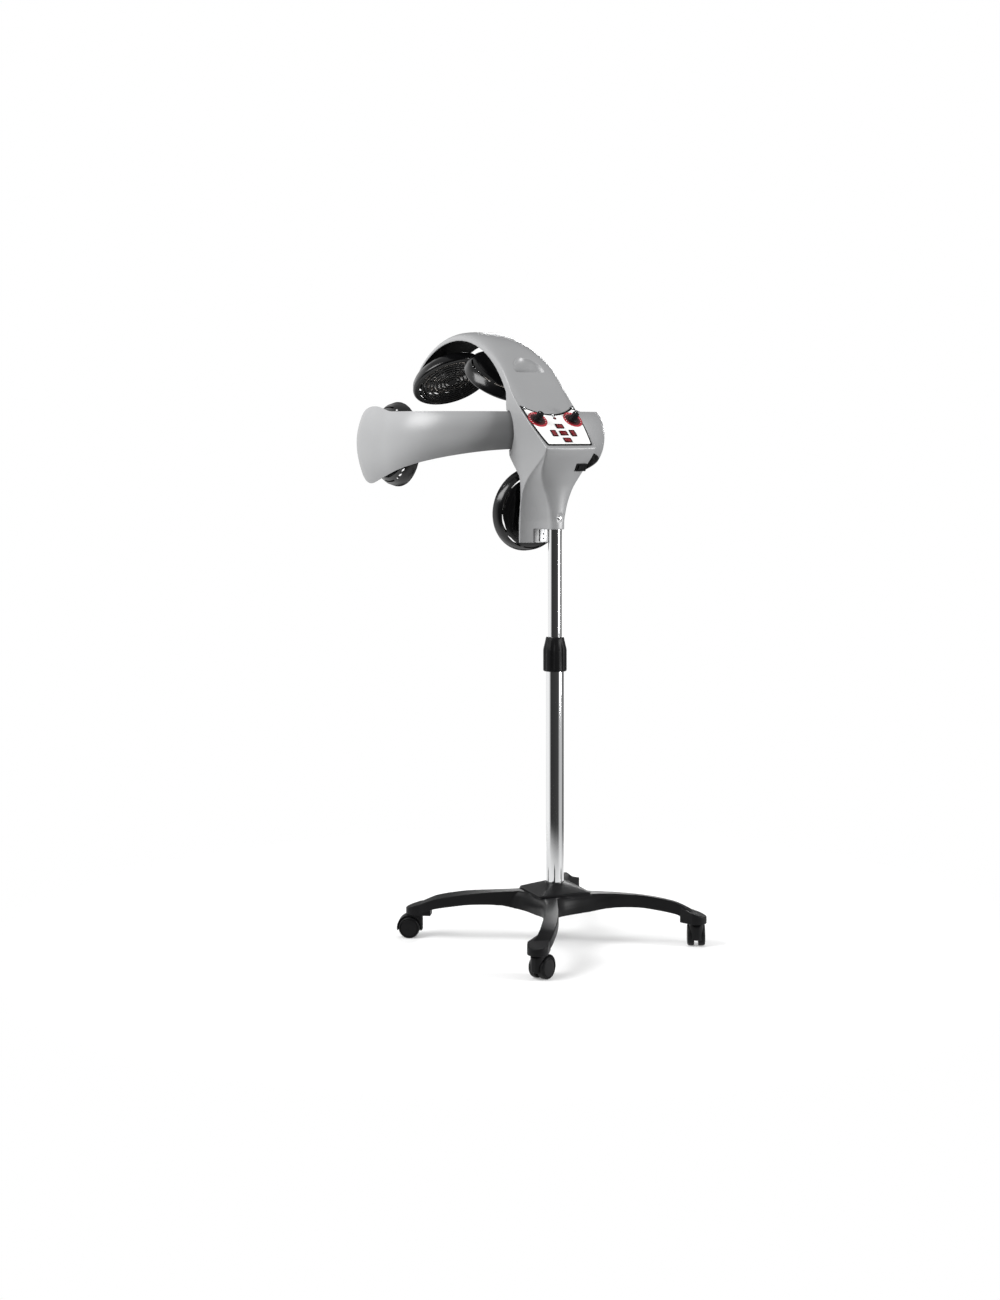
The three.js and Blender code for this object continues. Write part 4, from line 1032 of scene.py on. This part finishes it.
def build_panel():
    trim = prism(panel_outline(0), 0.3, PANEL_THICK - 0.5, PANEL)
    tabs = [(-PANEL_HALF_HIGH + 7, PANEL_LENGTH - 10), (PANEL_HALF_HIGH - 7, PANEL_LENGTH - 10)]
    tabs.append((0, PANEL_LENGTH - PANEL_DIP - 4))
    head = "head"
    trim_piece = piece("panel_trim", cut(trim, *panel_holes()), head, "black_plastic", 38, 0.3)
    white = prism(panel_outline(TRIM_WIDTH), 0.6, PANEL_THICK, PANEL)
    dress("control_panel", cut(white, *panel_holes()), "white_plastic", 38, 0.2)
    for i, (across, up) in enumerate(tabs):
        place = on_panel(across, up) @ Matrix.Translation((0, 0, PANEL_THICK))
        pad = turned(rounded([(0, -1.2, 0), (5.4, -1.2, 0), (5.4, 0.3, 0.2), (0, 0.3, 0)], 0.2), 40, place)
        piece(f"panel_screw_pad_{i + 1}", pad, head, "black_plastic")
        piece(f"panel_screw_{i + 1}", screw(place @ Matrix.Translation((0, 0, 0.3))), head, "chrome")
    for name, side in (("heat", -1), ("timer", 1)):
        build_dial(name, on_panel(side * KNOB_SPREAD, KNOB_UP))
        dress(f"{name}_knob", knob_form(on_panel(side * KNOB_SPREAD, KNOB_UP, KNOB_TURN[name])), "black_plastic", 30)
        build_pointer(name, on_panel(side * KNOB_SPREAD, KNOB_UP, KNOB_TURN[name]))
    lamp = rounded([(0, -8, 0), (2.4, -8, 0), (2.4, 3.2, 0.6), (1.8, 4.6, 1), (0, 5, 0)], 0.5)
    dress("indicator_lamp", turned(lamp, 40, on_panel(0, LAMP_UP)), "red_plastic")
    collar = rounded([(2.5, 0, 0), (3.9, 0, 0), (3.9, 1, 0.4), (2.5, 1.2, 0.3)], 0.3)
    place = on_panel(0, LAMP_UP) @ Matrix.Translation((0, 0, PANEL_THICK))
    piece("lamp_collar", turned(collar, 40, place), head, "black_plastic")
    return trim_piece


def build_dial(name, place):
    low = PANEL_THICK
    ring = [(4.4, low), (DIAL_RADIUS, low), (DIAL_RADIUS, low + 0.12), (4.4, low + 0.12)]
    piece(f"{name}_dial_ring", turned(ring, 96, place), "head", "dial_red")
    dark = [(4.4, low + 0.1), (DIAL_DARK_RADIUS, low + 0.1), (DIAL_DARK_RADIUS, low + 0.22), (4.4, low + 0.22)]
    piece(f"{name}_dial_centre", turned(dark, 96, place), "head", "dial_dark")
    ticks = []
    for i in range(13):
        turn = place @ turn_z(-30 + 20 * i)
        ticks.append(block((18.6, 22.2), (-0.35, 0.35), (low + 0.1, low + 0.2), turn))
    piece(f"{name}_dial_ticks", together(*ticks), "head", "mark_white")


def build_pointer(name, place):
    line = block((-0.5, 0.5), (1.5, 5), (22.5, 22.9), place)
    piece(f"{name}_knob_line", line, f"{name}_knob", "mark_white")


# Arms


def arm_path():
    rows = [(HINGE_X + 5, ARM_TURN_Y - ARM_TURN_RADIUS, 0, -1)]
    for k in range(31):
        s, c = math.sin(rad(3 * k)), math.cos(rad(3 * k))
        rows.append((ARM_TURN_X + ARM_TURN_RADIUS * s, ARM_TURN_Y - ARM_TURN_RADIUS * c, s, -c))
    straight = ARM_TURN_X + ARM_TURN_RADIUS
    end_y = SIDE_HEATER.y + ARM_END_START
    rows += [(straight, lerp(ARM_TURN_Y, end_y, k / 10), 1, 0) for k in range(1, 10)]
    count = 28
    rows += [(straight, end_y + ARM_END_REACH * 0.999 * math.sin(math.pi / 2 * k / count), 1, 0) for k in range(count + 1)]
    length = 0
    stations = []
    for i, (x, y, out_x, out_y) in enumerate(rows):
        if i:
            length += math.hypot(x - rows[i - 1][0], y - rows[i - 1][1])
        stations.append((Vector((x, y, 0)), Vector((out_x, out_y, 0)), length))
    return stations, stations[-count - 1][2]


def arm_heights(length, to_end):
    share = length / to_end
    past = max(0, (length - to_end) / ARM_END_REACH)
    middle = (ARM_TOP_END + ARM_LOW_END) / 2
    top_round = max(0, 1 - past**2.8) ** (1 / 2.8)
    low_round = max(0, 1 - past**2) ** 0.5
    top = middle + (lerp(ARM_TOP, ARM_TOP_END, smoothstep(share, 0.82, 1)) - middle) * top_round
    low = middle + (lerp(ARM_LOW, ARM_LOW_END, share**1.75) - middle) * low_round
    return top, low, low_round


def arm_form():
    stations, to_end = arm_path()
    spread = [math.sin(math.pi / 2 * k / 14) for k in range(-14, 15)]
    rings = []
    for place, out, length in stations:
        top, low, round_off = arm_heights(length, to_end)
        crown = ARM_CROWN * max(0.3, math.sqrt(round_off))
        ring = []
        for t in spread:
            bulge = crown * (1 - abs(t) ** 2.6) - ARM_CROWN
            ring.append(place + out * bulge + Vector((0, 0, lerp(low, top, (t + 1) / 2))))
        rings.append(ring)
    barrel = rounded([
        (4.4, ARM_LOW, 0.4), (HINGE_BARREL, ARM_LOW, 1), (HINGE_BARREL, ARM_TOP, 1), (4.4, ARM_TOP, 0.4),
    ], 1)
    return together(lofted(rings), turned(barrel, 48, Matrix.Translation((HINGE_X, HINGE_Y, 0))))


def arm_slot(swing):
    """Room in the body's side for an arm's root, swung by some degrees."""
    stations, to_end = arm_path()
    rings = []
    for place, out, length in stations[:14]:
        top, low, _ = arm_heights(length, to_end)
        low, top = low - ARM_CLEAR, top + ARM_CLEAR
        ring = [place + out * -60 + Vector((0, 0, z)) for z in (top, low)]
        for t in [math.sin(math.pi / 2 * k / 8) for k in range(-8, 9)]:
            bulge = ARM_CROWN * (1 - abs(t) ** 2.6) - ARM_CROWN + ARM_CLEAR
            ring.append(place + out * bulge + Vector((0, 0, lerp(low, top, (t + 1) / 2))))
        rings.append(ring)
    hinge = Matrix.Translation((HINGE_X, HINGE_Y, 0))
    return moved(lofted(rings), hinge @ turn_z(swing) @ hinge.inverted())


def arm_cover_form():
    stations, to_end = arm_path()
    rings = []
    for place, out, length in stations[2:-3]:
        top, low, _ = arm_heights(length, to_end)
        corners = rounded([(-0.3, low + 1), (-0.3, top - 1), (-2.8, top - 1, 1.2), (-2.8, low + 1, 1.2)], 0.2, 3)
        rings.append([place + out * (q - ARM_CROWN) + Vector((0, 0, z)) for q, z in corners])
    return lofted(rings)


def build_arms():
    for name, side in (("left", -1), ("right", 1)):
        mirror = Matrix.Diagonal((side, 1, 1, 1))
        dress(f"{name}_arm", moved(arm_form(), mirror), "grey_plastic", 50, 0.9)
        dress(f"{name}_arm_cover", moved(arm_cover_form(), mirror), "black_plastic")


# Heaters


def polar_sheet(profile, segments, is_open):
    """Sheet turned about Z from (radius, height) points, without the cells that is_open names."""
    bm = bmesh.new()
    circle = [(math.cos(2 * math.pi * i / segments), math.sin(2 * math.pi * i / segments)) for i in range(segments)]
    rows = [[bm.verts.new((r * c, r * s, z)) for c, s in circle] for r, z in profile]
    for i, (low, high) in enumerate(zip(rows, rows[1:])):
        for j in range(segments):
            if not is_open(i, j):
                k = (j + 1) % segments
                bm.faces.new((low[j], low[k], high[k], high[j]))
    bmesh.ops.remove_doubles(bm, verts=bm.verts, dist=1e-4)
    loose = [v for v in bm.verts if not v.link_faces]
    bmesh.ops.delete(bm, geom=loose, context="VERTS")
    bmesh.ops.recalc_face_normals(bm, faces=bm.faces)
    return bm


def thickened(bm, thickness):
    obj = scratch(bm)
    sheet = obj.modifiers.new("wall", "SOLIDIFY")
    sheet.thickness = thickness
    sheet.offset = -1
    return collected(obj)


def heater_shell(post_end):
    r, d = HEATER_RADIUS, HEATER_DEPTH
    curve = [(0, -d), (0.55 * r, -0.95 * d), (0.83 * r, -0.74 * d), (0.96 * r, -0.36 * d), (r, 0)]
    rows = eased([(a, z) for a, z in curve], 3)
    profile = []
    for a, z in rows:
        groove = 0.9 if 20 < a < 0.78 * r and int(a / 3) % 2 else 0
        profile.append((a, z + groove))
    profile += [(r, 2.2), (r - 0.8, 4.4), (r - 2.6, 6), (r - 5, 6.8), (r - 6.5, 6.8)]
    slot_rows = [i for i, (a, z) in enumerate(profile) if 0.835 * r < a < 0.885 * r and z < 0]
    slots = 10
    segments = 160
    per_slot = segments // slots

    def is_open(i, j):
        return i in slot_rows and 1 <= j % per_slot < per_slot - 2

    dish = thickened(polar_sheet(profile, segments, is_open), 2.2)
    post = turned(rounded([
        (0, post_end, 0), (POST_RADIUS, post_end, 0.6), (POST_RADIUS, -d - 4, 4), (1.7 * POST_RADIUS, -d + 0.6, 0.5),
        (0, -d + 0.6, 0),
    ], 1), 48)
    return together(dish, post)


def heater_grille():
    """Domed front with rings of arc slots round a small plain middle."""
    r = HEATER_RADIUS
    pitch = (GRILLE_LAST - GRILLE_FIRST) / GRILLE_RINGS
    edges = [0, 4, 8]
    for k in range(GRILLE_RINGS):
        edges += [GRILLE_FIRST + pitch * k, GRILLE_FIRST + pitch * (k + GRILLE_OPEN)]
    edges += [GRILLE_LAST, r - 8, r - 6]
    profile = [(a, 7.4 - 2.2 * (a / r) ** 2) for a in edges]
    segments = 144
    slot_rows = [3 + 2 * k for k in range(GRILLE_RINGS)]

    def is_open(i, j):
        if i not in slot_rows:
            return False
        per_spoke = segments // (4 + 2 * ((i - 3) // 4))
        width = max(1, round(segments * GRILLE_SPOKE / (2 * math.pi * profile[i][0])))
        return j % per_spoke >= width

    return thickened(polar_sheet(profile, segments, is_open), 2.4)


def heater_reflector():
    """Bright dish behind the ring element."""
    r, d = HEATER_RADIUS, HEATER_DEPTH
    dish = [(14, 3.4 - 0.97 * d), (0.5 * r, 3.4 - 0.92 * d), (0.74 * r, 3.8 - 0.76 * d)]
    back = [(a, z - 0.5) for a, z in reversed(dish)]
    return turned(dish + back, 96)


def heater_element():
    ring = bmesh.new()
    circle = 96
    rows = []
    for i in range(circle):
        a = 2 * math.pi * i / circle
        row = []
        for k in range(12):
            b = 2 * math.pi * k / 12
            reach = ELEMENT_RING + ELEMENT_TUBE * math.cos(b)
            row.append(ring.verts.new((reach * math.cos(a), reach * math.sin(a), -12 + ELEMENT_TUBE * math.sin(b))))
        rows.append(row)
    for i in range(circle):
        low, high = rows[i], rows[(i + 1) % circle]
        for k in range(12):
            n = (k + 1) % 12
            ring.faces.new((low[k], high[k], high[n], low[n]))
    bmesh.ops.recalc_face_normals(ring, faces=ring.faces)
    foot = [(0, -0.68 * HEATER_DEPTH), (3, -0.68 * HEATER_DEPTH), (3, -12), (0, -12)]
    feet = [turned(foot, 24, Matrix.Translation((side * ELEMENT_RING, 0, 0))) for side in (-1, 1)]
    return together(ring, *feet)


def build_heaters():
    for name, (place, post_end) in HEATERS.items():
        dress(f"{name}_heater_shell", moved(heater_shell(post_end), place), "gloss_black", 45)
        dress(f"{name}_heater_grille", moved(heater_grille(), place), "gloss_black", 45)
        reflector = moved(heater_reflector(), place)
        piece(f"{name}_heater_reflector", reflector, frame["nodes"][f"{name}_heater_shell"]["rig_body"], "reflector")
        dress(f"{name}_heater_element", moved(heater_element(), place), "element_metal")


# CAD nodes that stay


def finish_cad_nodes():
    bevels = {"switch_block": 0.5, "power_switch_frame": 0.6, "power_rocker": 0.5, "pole_bracket": 0.5}
    bevels.update({f"{name}_rocker": 0.6 for name in ROCKERS})
    for part in frame["record"]["subparts"]:
        obj = frame["nodes"][part["node"]]
        if obj.hide_render:
            continue
        obj.data.materials.clear()
        obj.data.materials.append(FINISHES[part["material_slot"]])
        if part["node"] in bevels:
            add_bevel(obj, bevels[part["node"]], 30)


# Stage


def add_floor():
    """A pale round floor that fades into the plain background."""
    bm = bmesh.new()
    bmesh.ops.create_circle(bm, cap_ends=True, segments=96, radius=FLOOR_END)
    mesh = bpy.data.meshes.new("floor")
    bm.to_mesh(mesh)
    bm.free()
    floor = bpy.data.objects.new("floor", mesh)
    bpy.context.scene.collection.objects.link(floor)
    material, nodes, links, shader = new_material("floor_pale")
    shader.inputs["Base Color"].default_value = (0.6, 0.6, 0.6, 1)
    shader.inputs["Roughness"].default_value = 0.8
    shader.inputs["Emission Color"].default_value = (1, 1, 1, 1)
    shader.inputs["Emission Strength"].default_value = FLOOR_GLOW
    place = nodes.new("ShaderNodeTexCoord")
    distance = nodes.new("ShaderNodeVectorMath")
    distance.operation = "LENGTH"
    links.new(place.outputs["Object"], distance.inputs[0])
    fade = nodes.new("ShaderNodeMapRange")
    fade.interpolation_type = "SMOOTHSTEP"
    fade.inputs["From Min"].default_value = FLOOR_WHOLE
    fade.inputs["From Max"].default_value = FLOOR_END
    links.new(distance.outputs["Value"], fade.inputs["Value"])
    clear = nodes.new("ShaderNodeBsdfTransparent")
    mixed = nodes.new("ShaderNodeMixShader")
    links.new(fade.outputs["Result"], mixed.inputs["Fac"])
    links.new(shader.outputs["BSDF"], mixed.inputs[1])
    links.new(clear.outputs["BSDF"], mixed.inputs[2])
    links.new(mixed.outputs["Shader"], nodes["Material Output"].inputs["Surface"])
    mesh.materials.append(material)


def add_light(name, place, target, size, power):
    lamp = bpy.data.lights.new(name, "AREA")
    lamp.shape = "RECTANGLE"
    lamp.size, lamp.size_y = size
    lamp.energy = power
    obj = bpy.data.objects.new(name, lamp)
    obj.location = place
    obj.rotation_euler = (Vector(target) - Vector(place)).to_track_quat("-Z", "Y").to_euler()
    bpy.context.scene.collection.objects.link(obj)


def add_dome(nodes, links, direction):
    """Soft light that is bright above the key side and dim on the other."""
    towards = nodes.new("ShaderNodeVectorMath")
    towards.operation = "DOT_PRODUCT"
    towards.inputs[1].default_value = KEY_SIDE.normalized()
    links.new(direction, towards.inputs[0])
    shade = nodes.new("ShaderNodeMapRange")
    shade.interpolation_type = "SMOOTHSTEP"
    shade.inputs["From Min"].default_value = -0.6
    shade.inputs["From Max"].default_value = 1
    shade.inputs["To Min"].default_value = DOME_DIM
    shade.inputs["To Max"].default_value = DOME_BRIGHT
    links.new(towards.outputs["Value"], shade.inputs["Value"])
    return shade.outputs["Result"]


def add_mirrored(nodes, links, direction, dome):
    """White and dark screens round the horizon, below the dome, for shiny things to mirror."""
    turn = nodes.new("ShaderNodeVectorRotate")
    turn.rotation_type = "Z_AXIS"
    turn.inputs["Angle"].default_value = rad(-90 - CAMERA_TURN)
    links.new(direction, turn.inputs["Vector"])
    split = nodes.new("ShaderNodeSeparateXYZ")
    links.new(turn.outputs["Vector"], split.inputs["Vector"])
    angle = nodes.new("ShaderNodeMath")
    angle.operation = "ARCTAN2"
    links.new(split.outputs["Y"], angle.inputs[0])
    links.new(split.outputs["X"], angle.inputs[1])
    share = nodes.new("ShaderNodeMapRange")
    share.inputs["From Min"].default_value = -math.pi
    share.inputs["From Max"].default_value = math.pi
    links.new(angle.outputs["Value"], share.inputs["Value"])
    screens = nodes.new("ShaderNodeFloatCurve")
    curve = screens.mapping.curves[0]
    highest = max(strength for _, strength in MIRRORED)
    curve.points[0].location = (MIRRORED[0][0], MIRRORED[0][1] / highest)
    curve.points[1].location = (MIRRORED[-1][0], MIRRORED[-1][1] / highest)
    for around, strength in MIRRORED[1:-1]:
        curve.points.new(around, strength / highest)
    for point in curve.points:
        point.handle_type = "VECTOR"
    screens.mapping.update()
    links.new(share.outputs["Result"], screens.inputs["Value"])
    scaled = nodes.new("ShaderNodeMath")
    scaled.operation = "MULTIPLY"
    scaled.inputs[1].default_value = highest
    links.new(screens.outputs["Value"], scaled.inputs[0])
    height = nodes.new("ShaderNodeMapRange")
    height.interpolation_type = "SMOOTHSTEP"
    height.inputs["From Min"].default_value = MIRRORED_TOP - 0.2
    height.inputs["From Max"].default_value = MIRRORED_TOP + 0.2
    links.new(split.outputs["Z"], height.inputs["Value"])
    mixed = nodes.new("ShaderNodeMix")
    links.new(height.outputs["Result"], mixed.inputs["Factor"])
    links.new(scaled.outputs["Value"], mixed.inputs["A"])
    links.new(dome, mixed.inputs["B"])
    return mixed.outputs["Result"]


def add_world():
    """A dome of light, screens that only reflections show, and a plain white background."""
    world = bpy.data.worlds.new("studio")
    bpy.context.scene.world = world
    world.use_nodes = True
    nodes, links = world.node_tree.nodes, world.node_tree.links
    place = nodes.new("ShaderNodeTexCoord")
    direction = place.outputs["Generated"]
    dome = add_dome(nodes, links, direction)
    mirrored = add_mirrored(nodes, links, direction, dome)
    ray = nodes.new("ShaderNodeLightPath")
    lit = nodes.new("ShaderNodeMix")
    links.new(ray.outputs["Is Glossy Ray"], lit.inputs["Factor"])
    links.new(dome, lit.inputs["A"])
    links.new(mirrored, lit.inputs["B"])
    seen = nodes.new("ShaderNodeMix")
    links.new(ray.outputs["Is Camera Ray"], seen.inputs["Factor"])
    links.new(lit.outputs["Result"], seen.inputs["A"])
    seen.inputs["B"].default_value = BACKGROUND_WHITE
    background = nodes["Background"]
    background.inputs["Color"].default_value = (1, 1, 1, 1)
    links.new(seen.outputs["Result"], background.inputs["Strength"])


def add_camera():
    data = bpy.data.cameras.new("camera")
    data.sensor_width = 36
    data.lens = FOCAL_PIXELS / IMAGE_HEIGHT * data.sensor_width
    data.shift_y = (HORIZON_ROW - IMAGE_HEIGHT / 2) / IMAGE_HEIGHT
    camera = bpy.data.objects.new("camera", data)
    camera.location = TO_ROW @ CAMERA_PLACE
    camera.rotation_euler = (math.pi / 2, 0, rad(CAMERA_TURN))
    bpy.context.scene.collection.objects.link(camera)
    bpy.context.scene.camera = camera


def build_stage():
    add_floor()
    add_world()
    middle = (0, 0, 1.0)
    add_light("left_softbox", (-2.5, 0.1, 2.6), middle, (1.8, 1.8), 122)
    add_light("right_softbox", (2.1, -2.6, 1.3), middle, (0.9, 1.8), 130)
    add_light("front_softbox", (2.2, 2.4, 1.8), middle, (1.2, 1.2), 60)
    bpy.context.scene.view_settings.view_transform = "Standard"


add_camera()
build_base()
build_mast()
build_head()
build_panel()
build_arms()
build_heaters()
finish_cad_nodes()
build_stage()
